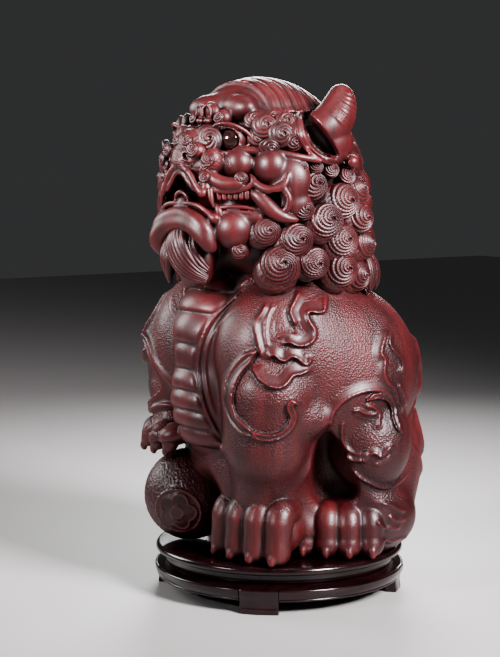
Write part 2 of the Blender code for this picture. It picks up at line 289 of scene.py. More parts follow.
def hollow_tone(verts, quads, rounds, scale):
    """How far each vertex lies in a hollow, from 0 on open or raised wood to 1 deep in a groove; the material
    paints shade by it.
    """
    blurred = verts
    for _ in range(rounds):
        blurred = relax(blurred, quads, 0.8)
    a, b, c, d = (verts[quads[:, i]] for i in range(4))
    face = np.cross(c - a, d - b)
    normal = unit(sum(gather(quads[:, i], face, len(verts)) for i in range(4)))
    depth = np.einsum("ij,ij->i", blurred - verts, normal)
    return np.clip(0.5 + depth / scale, 0.0, 1.0)


# ---- relief drawn on a side of the figure
def line_measure(u, v, line):
    """Distance to a line, side (left of travel is positive) and how far along it, 0 to 1."""
    best = np.full(len(u), 1e9)
    side = np.zeros(len(u))
    along = np.zeros(len(u))
    steps = np.linalg.norm(np.diff(line, axis=0), axis=1)
    marks = np.concatenate([[0], np.cumsum(steps)]) / steps.sum()
    for i in range(len(line) - 1):
        a, b = line[i], line[i + 1]
        ab = b - a
        t = np.clip(((u - a[0]) * ab[0] + (v - a[1]) * ab[1]) / max(ab @ ab, 1e-9), 0, 1)
        du, dv = u - a[0] - t * ab[0], v - a[1] - t * ab[1]
        d = np.hypot(du, dv)
        closer = d < best
        best = np.where(closer, d, best)
        side = np.where(closer, np.sign(ab[0] * (v - a[1]) - ab[1] * (u - a[0])), side)
        along = np.where(closer, marks[i] + t * (marks[i + 1] - marks[i]), along)
    return best, side, along


def relief_height(u, v, strokes):
    """Height of all strokes of a drawing at points of its plane."""
    height = np.zeros(len(u))
    for kind, width, rise, points in strokes:
        line = smooth_line(points, 6)
        pad = max(width, 3.0) + 2
        near = (u > line[:, 0].min() - pad) & (u < line[:, 0].max() + pad)
        near &= (v > line[:, 1].min() - pad) & (v < line[:, 1].max() + pad)
        spots = np.nonzero(near)[0]
        if not len(spots):
            continue
        dist, side, along = line_measure(u[spots], v[spots], line)
        taper = ease(0, 0.12, along) * ease(0, 0.12, 1 - along)
        s = dist * side
        if kind == "lip":
            wall = ease(-1.1, 0.3, s)
            slope = np.clip(1 - s / width, 0, 1)
            rim = 0.35 * np.exp(-((s - 1.0) / 0.9) ** 2)
            value = rise * taper * np.where(s < 0, wall, wall * slope) + rise * rim * taper
        elif kind == "band":
            half = width / 2 * (0.35 + 0.65 * taper)
            value = rise * ease(half + 0.7, half - 0.7, dist)
            value -= 0.38 * rise * np.exp(-((dist / (half * 0.52)) ** 4)) * ease(1.4, 2.6, half)
        elif kind == "groove":
            value = -rise * taper * np.exp(-(dist / (width / 2)) ** 2)
        else:
            value = rise * taper * np.exp(-(dist / (width / 2)) ** 2)
        height[spots] = np.where(np.abs(value) > np.abs(height[spots]), value, height[spots])
    return height


# ---- curls and locks of hair
def curl_shell(centre, normal, up, radius, rise, turns, hand, depth, sink, arms=5, rings=26, sides=72):
    """Domed curl: several strands wind together into a small hollow eye set off its middle."""
    n = unit(normal)
    side = unit(np.cross(up, n))
    top = np.cross(n, side)
    eye_u, eye_v = 0.34 * radius * hand, 0.16 * radius
    t = np.linspace(0, 1, rings)[:, None]
    angle = np.linspace(0, math.tau, sides, endpoint=False)[None, :]
    u = eye_u * (1 - t) + radius * t * np.cos(angle)
    v = eye_v * (1 - t) + radius * t * np.sin(angle)
    rr = np.clip(np.hypot(u, v) / radius, 0, 1)
    height = rise * np.sqrt(np.clip(1 - rr * rr * 0.985, 0, 1))
    phase = arms * angle * hand / math.tau + arms * turns * t ** 0.9
    ridge = np.abs(np.sin(math.pi * phase)) ** 0.7
    carved = ease(0.04, 0.20, t)
    groove = depth * (1 - ridge) * carved
    hole = np.exp(-((t / 0.085) ** 2))
    rim = np.exp(-(((t - 0.19) / 0.075) ** 2))
    height = height - groove - 0.13 * radius * hole + 0.07 * radius * rim
    # Tone for the material: painted shade in the grooves, the eye and the foot of the dome.
    cavity = 0.36 + 0.60 * (1 - ridge) * carved + 0.6 * hole + 0 * angle + 0.15 * ease(0.93, 1, t)
    rows = [np.stack([u, v, height + 0 * u], axis=-1)]
    for drop, shrink in ((0.35, 0.985), (1.0, 0.90)):
        rows.append(np.stack([u[-1:] * shrink, v[-1:] * shrink, height[-1:] * (1 - drop) - sink * drop],
            axis=-1))
    rows.append(np.stack([u[-1:] * 0.02, v[-1:] * 0.02, 0 * u[-1:] - sink], axis=-1))
    local = np.concatenate(rows).reshape(-1, 3)
    # The sunk underside gets the darkest painted shade.
    tone = np.concatenate([cavity + 0 * u, np.full((3, sides), 1.0)]).ravel()
    verts = np.asarray(centre) + local[:, :1] * side + local[:, 1:2] * top + local[:, 2:] * n
    return verts, grid_quads(rings + 3, sides), np.clip(tone, 0, 1)


def lock_shell(points, widths, normals, rise, strands, depth, sides, sink, spans=8):
    """Lock of hair along a line: strands side by side on a rounded back, tapering to its ends."""
    line = smooth_line(points, spans)
    half = np.maximum(smooth_line([(w,) for w in widths], spans)[:, :, None] / 2, 0.05)
    ahead = unit(np.gradient(line, axis=0))
    norm = smooth_line(normals, spans)
    n = unit(norm - ahead * np.einsum("ij,ij->i", norm, ahead)[:, None])[:, None, :]
    b = np.cross(ahead, n[:, 0])[:, None, :]
    a = np.linspace(-math.pi, math.pi, sides, endpoint=False)[None, :, None]
    s = np.sin(a)
    over = np.cos(a) > 0
    ridge = np.abs(np.sin(math.pi * strands * (s + 1) / 2)) ** 0.8
    fade = np.minimum(1.0, half / 3.0)
    lift = np.where(over, rise, -sink) * half * np.abs(np.cos(a)) ** 0.8
    lift = lift - np.where(over, depth * fade * (1 - ridge), 0)
    rows = line[:, None, :] + b * s * half + n * lift
    # Tone for the material: painted shade in the grooves between strands and on the underside.
    tones = np.where(over, 0.42 + 0.5 * (1 - ridge) * fade, 0.9)[:, :, 0]
    tones = np.concatenate([tones[:1], tones, tones[-1:]]).ravel()
    return closed_tube(rows, line), grid_quads(len(line) + 2, sides), tones


# ---- materials
class Shading:
    """Procedural material: its Principled shader and short ways of adding nodes."""

    def __init__(self, name):
        self.material = bpy.data.materials.new(name)
        self.material.use_nodes = True
        self.tree = self.material.node_tree
        self.position = self.add("TexCoord").outputs["Object"]

    def feed(self, socket, value):
        if isinstance(value, bpy.types.NodeSocket):
            self.tree.links.new(value, socket)
        else:
            socket.default_value = value

    def add(self, kind, **inputs):
        """Node with some inputs set to values or linked to sockets."""
        made = self.tree.nodes.new("ShaderNode" + kind)
        for key, value in inputs.items():
            self.feed(made.inputs[key.replace("_", " ")], value)
        return made

    def finish(self, **inputs):
        """Feed the shader's own sockets."""
        for key, value in inputs.items():
            self.feed(self.tree.nodes["Principled BSDF"].inputs[key.replace("_", " ")], value)
        return self.material

    def noise(self, **inputs):
        return self.add("TexNoise", **{"Vector": self.position, **inputs}).outputs["Fac"]

    def along_grain(self, scale):
        """Position squeezed along the grain."""
        return self.add("Mapping", Vector=self.position, Scale=scale).outputs[0]

    def attribute(self, name):
        made = self.add("Attribute")
        made.attribute_name = name
        return made.outputs["Fac"]

    def occlusion_shade(self, distance):
        """Ambient occlusion, 1 in the open; it paints shade into a colour."""
        made = self.add("AmbientOcclusion", Distance=distance)
        made.samples = 8
        return made.outputs["AO"]

    def ramp(self, source, *stops):
        """Colour ramp fed by a socket."""
        made = self.add("ValToRGB", Fac=source)
        elements = made.color_ramp.elements
        while len(elements) < len(stops):
            elements.new(0.5)
        for element, (place, colour) in zip(elements, stops):
            element.position = place
            element.color = (*colour, 1.0)
        return made.outputs["Color"]

    def maths(self, operation, a, b):
        made = self.add("Math")
        made.operation = operation
        self.feed(made.inputs[0], a)
        self.feed(made.inputs[1], b)
        return made.outputs[0]

    def tinted(self, factor, colour, tint):
        """Colour multiplied by a tint, as far as the factor says."""
        made = self.add("Mix")
        made.data_type = "RGBA"
        made.blend_type = "MULTIPLY"
        for socket, value in ((0, factor), (6, colour), (7, tint)):
            self.feed(made.inputs[socket], value)
        return made.outputs[2]


WHITE = (1.0, 1.0, 1.0)


def carved_wood():
    """Waxed dark red wood: upright grain, painted shade in the hollows, lighter worn ridges and a punched
    ground.
    """
    wood = Shading("carved_rosewood")
    upright = wood.along_grain((1.0, 1.0, 0.09))
    grain = wood.noise(Vector=upright, Scale=260.0, Detail=5.0, Roughness=0.62, Distortion=0.35)
    streaks = wood.noise(Vector=upright, Scale=46.0, Detail=3.0, Roughness=0.55, Distortion=0.8)
    clouds = wood.noise(Scale=14.0, Detail=2.0)
    base = wood.ramp(streaks, (0.30, (0.029, 0.0036, 0.0044)), (0.70, (0.075, 0.0090, 0.0098)))
    base = wood.tinted(0.45, base, wood.ramp(grain, (0.34, (0.50, 0.46, 0.46)), (0.60, WHITE)))
    base = wood.tinted(0.8, base, wood.ramp(clouds, (0.35, (0.80, 0.76, 0.78)), (0.68, (1.18, 1.12, 1.08))))
    # Painted shade: the cavity tone darkens grooves and hollows, and worn ridges come out lighter.
    hollow = wood.attribute("cavity")
    rubbed_ridges_and_hollow_shade = ((0.18, (1.75, 1.85, 1.90)), (0.50, (0.92, 0.92, 0.92)), (0.88, (0.14, 0.11, 0.12)))
    base = wood.tinted(1.0, base, wood.ramp(hollow, *rubbed_ridges_and_hollow_shade))
    # Painted shade: ambient occlusion darkens the colour where parts crowd together.
    base = wood.tinted(0.85, base, wood.ramp(wood.occlusion_shade(0.016), (0.15, (0.22, 0.18, 0.19)),
        (0.75, WHITE)))

    cells = wood.add("TexVoronoi", Vector=wood.position, Scale=680.0, Randomness=0.9)
    dents = wood.maths("MULTIPLY", cells.outputs["Distance"], wood.attribute("punch"))
    relief = wood.maths("ADD", dents, wood.maths("MULTIPLY", grain, 0.35))
    bump = wood.add("Bump", Strength=0.75, Distance=0.0006, Height=relief)
    dull = wood.maths("ADD", wood.maths("MULTIPLY", clouds, 0.18), 0.27)
    dull = wood.maths("ADD", dull, wood.maths("MULTIPLY", hollow, 0.22))
    return wood.finish(Base_Color=base, Normal=bump.outputs[0], Roughness=dull, Specular_IOR_Level=0.42,
        Coat_Weight=0.22,
                       Coat_Roughness=0.30)


def lacquered_wood():
    """Near black purple-brown lacquer, faint grain under a deep gloss, with painted shade in its corners."""
    wood = Shading("lacquered_stand")
    grain = wood.noise(Vector=wood.along_grain((1.0, 0.10, 1.0)), Scale=190.0, Detail=5.0, Roughness=0.6,
        Distortion=0.5)
    base = wood.ramp(grain, (0.34, (0.004, 0.0012, 0.0017)), (0.66, (0.016, 0.0038, 0.0046)))
    # Painted shade: ambient occlusion darkens the lacquer in corners and recesses.
    base = wood.tinted(0.8, base, wood.ramp(wood.occlusion_shade(0.010), (0.1, (0.25, 0.22, 0.24)), (0.7, WHITE)))
    dull = wood.maths("ADD", wood.maths("MULTIPLY", wood.noise(Scale=60.0, Detail=3.0), 0.16), 0.12)
    bump = wood.add("Bump", Strength=0.10, Distance=0.0004, Height=grain)
    return wood.finish(Base_Color=base, Roughness=dull, Normal=bump.outputs[0], Specular_IOR_Level=0.30,
        Coat_Weight=0.40,
                       Coat_Roughness=0.10)


def dark_glass():
    """Deep brown-black bead, slightly clouded."""
    glass = Shading("dark_glass")
    cloud = glass.noise(Scale=240.0, Detail=3.0)
    base = glass.ramp(cloud, (0.3, (0.006, 0.005, 0.004)), (0.7, (0.030, 0.010, 0.009)))
    dull = glass.maths("ADD", glass.maths("MULTIPLY", cloud, 0.06), 0.04)
    return glass.finish(Base_Color=base, Roughness=dull, Coat_Weight=1.0, Coat_Roughness=0.03)


WOOD = carved_wood()
STAND_WOOD = lacquered_wood()
GLASS = dark_glass()


# ---- body
# Drawings carved on upright planes: (kind, width, rise, points as (along, height)). A flank's plane faces 54
# degrees round from the front, and the right flank mirrors the left; the rump's plane faces back.
FLANK_COS = math.cos(math.radians(54))
FLANK_SIN = math.sin(math.radians(54))
FLANK = (
    ("lip", 20, 1.7, ((-40, 124), (-47, 135), (-54.5, 151), (-59.5, 171), (-60.5, 187), (-58, 201),
        (-51.5, 216), (-40, 229), (-28, 241), (-16, 250))),
    ("ridge", 2.4, 1.0, ((-45, 140), (-50.5, 152), (-55, 171), (-56, 186), (-53.5, 200), (-47.5, 213),
        (-37, 225), (-25, 236))),
    ("band", 8.5, 4.2, ((-18, 199), (-26, 192), (-33, 183), (-37.5, 172), (-38.5, 161), (-35, 150),
        (-28, 143), (-18, 138))),
    ("band", 5.4, 4.0, ((-30, 145), (-20, 139), (-9, 136.5), (1.5, 138.5), (8, 144.5), (10.5, 152),
        (8, 158.5), (9.5, 163), (14, 161))),
    ("lip", 11, 3.8, ((-22, 190), (-19, 185.5), (-14.5, 179.5), (-7, 174.5), (1, 173.5), (7, 177),
        (10.5, 181.5), (16.5, 182.5), (23, 185), (26, 188))),
    ("ridge", 2.2, 1.5, ((-10, 190), (-8, 182.5), (-3, 178.5), (4, 180), (9, 184), (15, 187))),
    ("lip", 9, 3.5, ((-9, 192), (-4.5, 196.5), (-0.5, 193.5), (4, 192), (9, 195), (13.5, 193.5),
        (18, 189.5), (21, 189), (23.5, 192), (23.5, 197))),
    ("lip", 10, 4.1, ((1.5, 201), (3.5, 204.5), (7.5, 205.5), (13.5, 203), (20.5, 203.5), (26, 207.5),
        (27, 214.5), (22.5, 222), (22, 227), (28, 226.5), (33.5, 227), (35, 233), (35.5, 241))),
    ("lip", 9, 3.2, ((15, 243.5), (10.5, 235.5), (7.5, 228), (12, 217))),
    ("groove", 2.4, 1.3, ((16, 232), (19, 224), (22, 215), (25, 210))),
    ("groove", 2.2, 1.2, ((5, 230), (6, 222), (10, 215), (12, 211))),
    ("ridge", 3.0, 2.0, ((-3, 209), (4, 212), (10, 211), (17, 210))),
    ("lip", 7, 3.0, ((-9, 236), (-14, 227), (-18.5, 220), (-17.5, 211), (-15, 201), (-13, 193))),
    ("ridge", 2.6, 1.8, ((-3, 234), (-8, 226), (-10, 216), (-9, 206), (-6, 199))),
    ("groove", 1.8, 1.0, ((-2, 222), (-3, 214), (0, 207))),
    ("lip", 9, 3.0, ((39, 137), (39.5, 146), (42, 153), (48, 159.5), (56, 164), (66, 166.5), (75, 166),
        (83, 162), (88, 155))),
    ("band", 5.0, 3.2, ((66, 160), (73, 162.5), (82, 160), (86.5, 153), (87.5, 145), (90, 138.5),
        (92.5, 134))),
    ("lip", 6, 2.4, ((76.5, 137), (75.5, 143), (76.5, 149.5), (70, 155.5), (63, 156))),
    ("lip", 7, 2.4, ((74, 152), (71.5, 149.5), (65, 150.5), (60, 153.5), (54, 152.5))),
    ("ridge", 2.6, 2.2, ((47.5, 145), (47, 136), (48, 128), (52, 121.5), (58, 118.5), (64, 119))),
    ("lip", 7, 2.7, ((49, 117), (54.5, 113), (63, 113))),
    ("ridge", 2.2, 2.3, ((53, 108), (60.5, 100), (70, 94), (78, 90), (86, 89), (94, 91), (101, 95))),
    ("lip", 5, 2.6, ((61, 110.5), (65.5, 113.5), (68, 118), (72, 119), (76, 116), (80, 118.5), (83, 122),
        (87.5, 123.5))),
    ("ridge", 2.2, 1.6, ((70, 112), (75, 110.5), (80, 113), (85, 117))),
    ("ridge", 3.2, 2.7, ((86, 210), (83.5, 202), (87, 195), (92, 189.5), (94, 182), (90, 177))),
    ("lip", 8, 3.2, ((93, 144), (94.5, 150), (91, 157), (88.5, 166), (82.5, 173), (80, 180), (80.5, 190),
        (77.5, 195), (80, 204), (84, 214))),
    ("ridge", 2.4, 2.2, ((91, 170), (95, 160), (98, 150))),
    ("ridge", 2.6, 1.9, ((74, 67), (80, 60), (86, 58), (94, 57))),
    ("ridge", 2.6, 1.9, ((77, 79), (86, 76), (92, 72), (98, 69))),
    ("ridge", 2.4, 1.6, ((79, 51), (86, 46), (93, 47), (101, 46))),
    ("ridge", 2.4, 1.6, ((84, 68), (90, 64), (98, 63))),
)
RUMP = (
    ("lip", 9, 3.2, ((40, 92), (56, 100), (66, 114), (66, 130), (57, 140), (46, 139), (42, 130), (48, 124),
        (55, 128))),
    ("ridge", 3.0, 1.8, ((62, 84), (74, 100), (81, 120), (76, 140), (66, 152), (64, 164), (70, 176))),
    ("ridge", 2.8, 2.4, ((50, 150), (44, 160), (46, 172), (56, 180), (60, 192), (54, 204))),
    ("lip", 6, 2.6, ((70, 150), (76, 160), (74, 172), (78, 182), (76, 194), (68, 204))),
    ("ridge", 2.4, 2.0, ((36, 104), (46, 108), (54, 116), (55, 124))),
)
BELLY_LINES = (258.0, 240.0, 224.0, 200.0, 180.5, 164.5, 149.5, 135.0, 120.0)


def belly_height(x, y, z):
    """Overlapping belly plates between the two flank edges."""
    along, level = np.array(FLANK[0][3]).T
    edge = np.interp(z, level, along)
    far = np.abs(x) * 0.588 + y * 0.809
    inside = ease(edge + 0.5, edge - 7.0, far) * (y < -20)
    level = z + 0.0022 * x * x
    height = np.zeros(len(x))
    for top, low in zip(BELLY_LINES[:-1], BELLY_LINES[1:]):
        t = (level - low) / (top - low)
        plate = (t >= 0) & (t < 1)
        t = np.clip(t, 0, 1)
        shape = 1.6 * (1 - t) ** 0.8 + 2.4 * np.sin(math.pi * t) ** 0.7
        height = np.where(plate, shape * ease(0, 0.10, t), height)
    return height * inside


def side_relief(x, y, z):
    """Relief of both flanks and of the rump at points in space."""
    height = np.zeros(len(x))
    for side in (1, -1):
        along = side * x * FLANK_COS + y * FLANK_SIN
        toward = side * x * FLANK_SIN - y * FLANK_COS
        facing = toward > 5
        drawn = np.zeros(len(x))
        drawn[facing] = relief_height(along[facing], z[facing], FLANK) * ease(5, 20, toward[facing])
        height = np.where(np.abs(drawn) > np.abs(height), drawn, height)
    behind = y > 36
    height[behind] += relief_height(np.abs(x[behind]), z[behind], RUMP) * ease(36, 52, y[behind])
    return height


def model_body():
    """Trunk, haunches, legs, paws and the root of the tail."""
    clay = Clay((-118, -118, 30), (118, 122, 268), 1.1)
    clay.blob((0, 19, 168), (97, 93, 80), k=8)
    clay.blob((0, 16, 98), (92, 88, 84), k=14)
    clay.blob((0, 14, 66), (66, 62, 50), k=8)
    clay.blob((0, 0, 246), (66, 60, 32), k=10)
    for _ in clay.both():
        clay.blob((54, 18, 178), (46, 62, 64), k=16)
        clay.blob((48, -24, 194), (46, 60, 60), (0, 0, -10), k=12)
        clay.blob((58, 36, 66), (40, 48, 38), (0, 0, 20), k=8)
    clay.blob((0, -32, 200), (46, 58, 60), k=4)
    clay.blob((0, -42, 160), (42, 50, 62), k=4)
    # hollows under the belly and between fore and hind legs
    clay.blob((0, -92, 66), (22, 40, 36), k=10, cut=True)
    for _ in clay.both():
        for out in (0, 16, 32):
            wedge = [flank(34, 72 + out, 139), flank(37, 64 + out, 121), flank(41, 59 + out, 105),
                flank(42, 57 + out, 90)]
            clay.chain(wedge, (3, 9, 14.5, 16.5), k=5, cut=True)
        clay.blob(flank(42, 94, 76), (40, 34, 34), (0, 0, 54), k=8, cut=True)
        clay.blob(flank(66, 96, 66), (36, 34, 28), (0, 0, 54), k=8, cut=True)
        # thigh, round and full over its foot
        clay.blob(flank(70, 44, 123), (31, 33, 38), (0, 0, 20), k=5)
        clay.bar(flank(84, 30, 62), 22, flank(58, 44, 58), 23, k=7)
        clay.blob((46, 61, 100), (35, 38, 56), k=10)
    # left foreleg, standing
    clay.bar((57, -50, 164), 36, (54, -51, 127), 32.5, k=6)
    clay.bar((54, -51, 128), 32, (42.5, -43.5, 92), 25.0, k=4)
    clay.bar((42.5, -43.5, 92), 25.0, (41, -42, 74), 25.5, k=4)
    clay.blob(flank(-13, 82, 158), (22, 20, 22), k=3)
    clay.blob(flank(20, 80, 148), (17, 17, 17), k=6)
    # right foreleg, bent over the ball
    clay.bar((-66, -44, 190), 35, (-64, -52, 158), 26, k=6)
    clay.bar((-64, -54, 158), 21, (-56, -64, 130), 17, k=4)
    clay.blob((-53, -69, 122), (20, 15, 10), (-20, 0, -25), k=3)
    for x, y, lean in ((-75, -70, 0.0), (-64.5, -77, 0.0), (-47, -78, -1.5), (-31, -79, 0.0)):
        clay.chain(((x * 0.88, y * 0.88, 124), (x, y + lean, 124.5), (x * 1.04, y * 1.05 + lean, 115)),
            (6.8, 7.6, 5.8), k=1.2)
        clay.chain(((x * 1.06, y * 1.06 + lean, 114), (x * 1.08, y * 1.09 + lean, 110.5),
            (x * 1.07, y * 1.08 + lean, 107.5)), (2.8, 2.3, 1.3), k=1.2)
    paw(clay, (41, -43), 15.0, 67.0, 15.0, 75.0)
    paw(clay, (62, 12), 50.0, 64.0, 14.0, 68.0)
    paw(clay, (-62, 12), -50.0, 64.0, 14.0, 68.0)
    # root of the tail under its locks
    clay.chain(((0, 88, 48), (0, 95, 80), (0, 96, 120), (0, 96, 146)), (16, 15, 13, 8), k=6)
    for _ in clay.both():
        clay.chain(((14, 86, 50), (26, 90, 76), (24, 92, 112)), (12, 11, 7), k=6)
    # knobs down the spine
    for i in range(5):
        z = 178 + i * 13.5
        y = 17 + 91 * math.sqrt(max(0.0, 1 - ((z - 166) / 80) ** 2))
        clay.blob((0, y - 1, z), (8, 5, 6.5), k=2)

    near, pos = clay.shell(6.0)
    x, y, z = (pos[:, i].astype(np.float64) for i in range(3))
    plates = belly_height(x, y, z)
    drawn = side_relief(x, y, z)
    clay.field[near] -= np.where(np.abs(drawn) > np.abs(plates), drawn, plates).astype(np.float32)
    clay.floor(BASE_Z)
    verts, quads = clay.surface()
    verts[:, 2] = np.maximum(verts[:, 2], BASE_Z)
    # Cavity tone: painted shade in the hollows of the carving.
    cavity = hollow_tone(verts, quads, 7, 1.6)
    smooth_parts = (np.abs(verts[:, 0]) < 30) & (verts[:, 1] < -60) & (verts[:, 2] > 110)
    toes = verts[:, 2] < 78
    punch = np.where(smooth_parts, 0.15, np.where(toes, 0.30, 1.0))
    carved = np.abs(side_relief(verts[:, 0], verts[:, 1], verts[:, 2])) > 0.7
    punch = np.where(carved, 0.12, punch)
    return add_mesh("lion_body", verts, quads, WOOD, FIGURE, cavity, punch)


def flank(along, out, z):
    """Point given along and out of the plane of the left side's drawing."""
    return vec(along * FLANK_COS + out * FLANK_SIN, along * FLANK_SIN - out * FLANK_COS, z)


def paw(clay, centre, azimuth, width, reach, top):
    """Tall broad paw: four full toes pressed side by side, each with a round knuckle and a short nail."""
    a = math.radians(azimuth)
    out = vec(math.sin(a), -math.cos(a), 0)
    along = vec(-out[1], out[0], 0)
    middle = vec(centre[0], centre[1], 0)
    clay.blob(middle + (0, 0, top - 17), (width / 2 - 1, reach + 6, 24), (0, 0, azimuth), k=6)
    wide = width / 4
    for i in range(4):
        off = i - 1.5
        lead = out * (reach - 1.9 * off * off)
        spot = middle + along * off * wide + lead
        fan = unit(out + along * off * 0.12)
        r = wide * 0.62
        clay.chain((spot - fan * 12 + (0, 0, top), spot + fan * 0.5 + (0, 0, top - 1),
            spot + fan * 5.0 + (0, 0, top - 8)), (r * 0.92, r * 1.04, r * 1.06), k=0.9)
        clay.chain((spot + fan * 5.0 + (0, 0, top - 8), spot + fan * 6.0 + (0, 0, top - 18),
            spot + fan * 7.0 + (0, 0, 46)), (r * 1.02, r * 0.96, r), k=0.9)
        nail = spot + fan * (7.4 + r * 0.82)
        clay.chain((nail + (0, 0, 43.5), nail + fan * 0.4 + (0, 0, 41), nail + (0, 0, 38.5)),
            (2.3, 2.0, 1.4), k=2.0, spans=4)


def model_ball():
    """Pebbled ball under the right forepaw, with a round flower medallion."""
    centre = vec(-38, -60, 73.5)
    radius = 37.0
    rings, sides = 180, 360
    dirs = ball_directions(rings, sides, 0.001)
    facing = unit(vec(0.62, -0.74, -0.24))
    across = unit(np.cross((0, 0, 1), facing))
    upward = np.cross(facing, across)
    a = np.degrees(np.arctan2(dirs @ across, dirs @ facing))
    b = np.degrees(np.arcsin(np.clip(dirs @ upward, -1, 1)))
    spread = np.degrees(np.arccos(np.clip(dirs @ facing, -1, 1)))
    turn = np.arctan2(b, a)
    rng = np.random.default_rng(7)
    pebbles, block = 5200, 3000  # pebbles over the whole ball; vertices matched at a time
    seeds = rng.normal(size=(pebbles, 3))
    seeds /= np.linalg.norm(seeds, axis=1)[:, None]
    nearest = np.full(len(dirs), 9.0)
    for start in range(0, len(dirs), block):
        part = dirs[start : start + block] @ seeds.T
        nearest[start : start + block] = np.arccos(np.clip(part.max(axis=1), -1, 1)) * radius
    pebble = 0.45 * (1 - np.clip(nearest / 0.95, 0, 1) ** 2)
    ring = 0.9 * np.exp(-((spread - 30) / 1.7) ** 2) + 0.6 * np.exp(-((spread - 8) / 1.6) ** 2)
    petal = 0.9 * np.exp(-((spread - (18.5 + 6.5 * np.abs(np.cos(2.5 * turn)))) / 1.5) ** 2)
    inside = ease(30, 28, spread)
    height = pebble * (1 - 0.7 * inside) + np.maximum(ring, petal * inside)
    verts = centre + dirs * (radius - 0.8 + height)[:, None]
    verts[:, 2] = np.maximum(verts[:, 2], BASE_Z)
    # Painted shade on the low ground between pebbles and rings; raised ones come out lighter.
    cavity = np.clip(0.62 - height * 0.45, 0, 1)
    return add_mesh("brocade_ball", verts, grid_quads(rings, sides), WOOD, FIGURE, cavity, 0.25)


def model_tail():
    """Bushy tail laid up the back: combed locks opening like a flame."""
    tail = Patchwork()
    locks = [
        (((0, 100, 42), (0, 107, 70), (0, 111, 100), (1, 111, 130), (4, 110, 156)), (18, 28, 28, 22, 5), 7),
    ]
    for side in (1, -1):
        locks.append((((side * 7, 99, 42), (side * 17, 104, 66), (side * 27, 105, 92),
            (side * 29, 104, 118), (side * 20, 107, 138)), (11, 20, 21, 16, 4), 5))
        locks.append((((side * 13, 96, 42), (side * 30, 97, 58), (side * 42, 93, 78), (side * 45, 92, 100),
            (side * 37, 99, 118)), (10, 17, 17, 12, 3), 4))
    for points, widths, strands in locks:
        normals = [unit(vec(0.016 * p[0], 1.0, -0.1)) for p in points]
        tail.append(lock_shell([vec(*p) for p in points], widths, normals, rise=0.45, strands=strands,
            depth=1.3, sides=64, sink=0.8, spans=10))
    for side in (1, -1):
        for x, y, z, r in ((22, 106, 57, 14.0), (41, 94, 66, 11.5), (30, 107, 82, 11.0)):
            out = unit(vec(side * x * 0.012, 1.0, -0.05))
            tail.append(curl_shell(vec(side * x, y - 8, z), out, vec(0, 0, 1), r, 10.0, turns=1.15,
                hand=side, depth=1.9, sink=6.0))
    return tail.build("tail", 0.1)


body_piece = model_body()
tail_piece = model_tail()
ball_piece = model_ball()


# ---- head, in its own frame: x left, -y forward
EYE = vec(25.5, -73.5, 353.5)
EYE_RADIUS = 9.0
PROFILE = vec(0.695, 0.719, 0)  # level direction along the slanting side of the head, left side
PROFILE_OUT = vec(0.719, -0.695, 0)


class HeadClay(Clay):
    """Clay whose masses are given in the head's own frame."""

    turn = HEAD_TURN

    def place(self, p):
        return head_point(super().place(p))

    def seen(self, along, z):
        """Surface point, in the head's frame, at a distance along the side's profile and a height."""
        start = PROFILE * along + PROFILE_OUT * 70 + (0, 0, z)
        x, y, z = self.drop(self.place(start), self.place(PROFILE_OUT), 60.0)
        x, y = head_level(x, y)
        return vec(self.side * x, y, z)


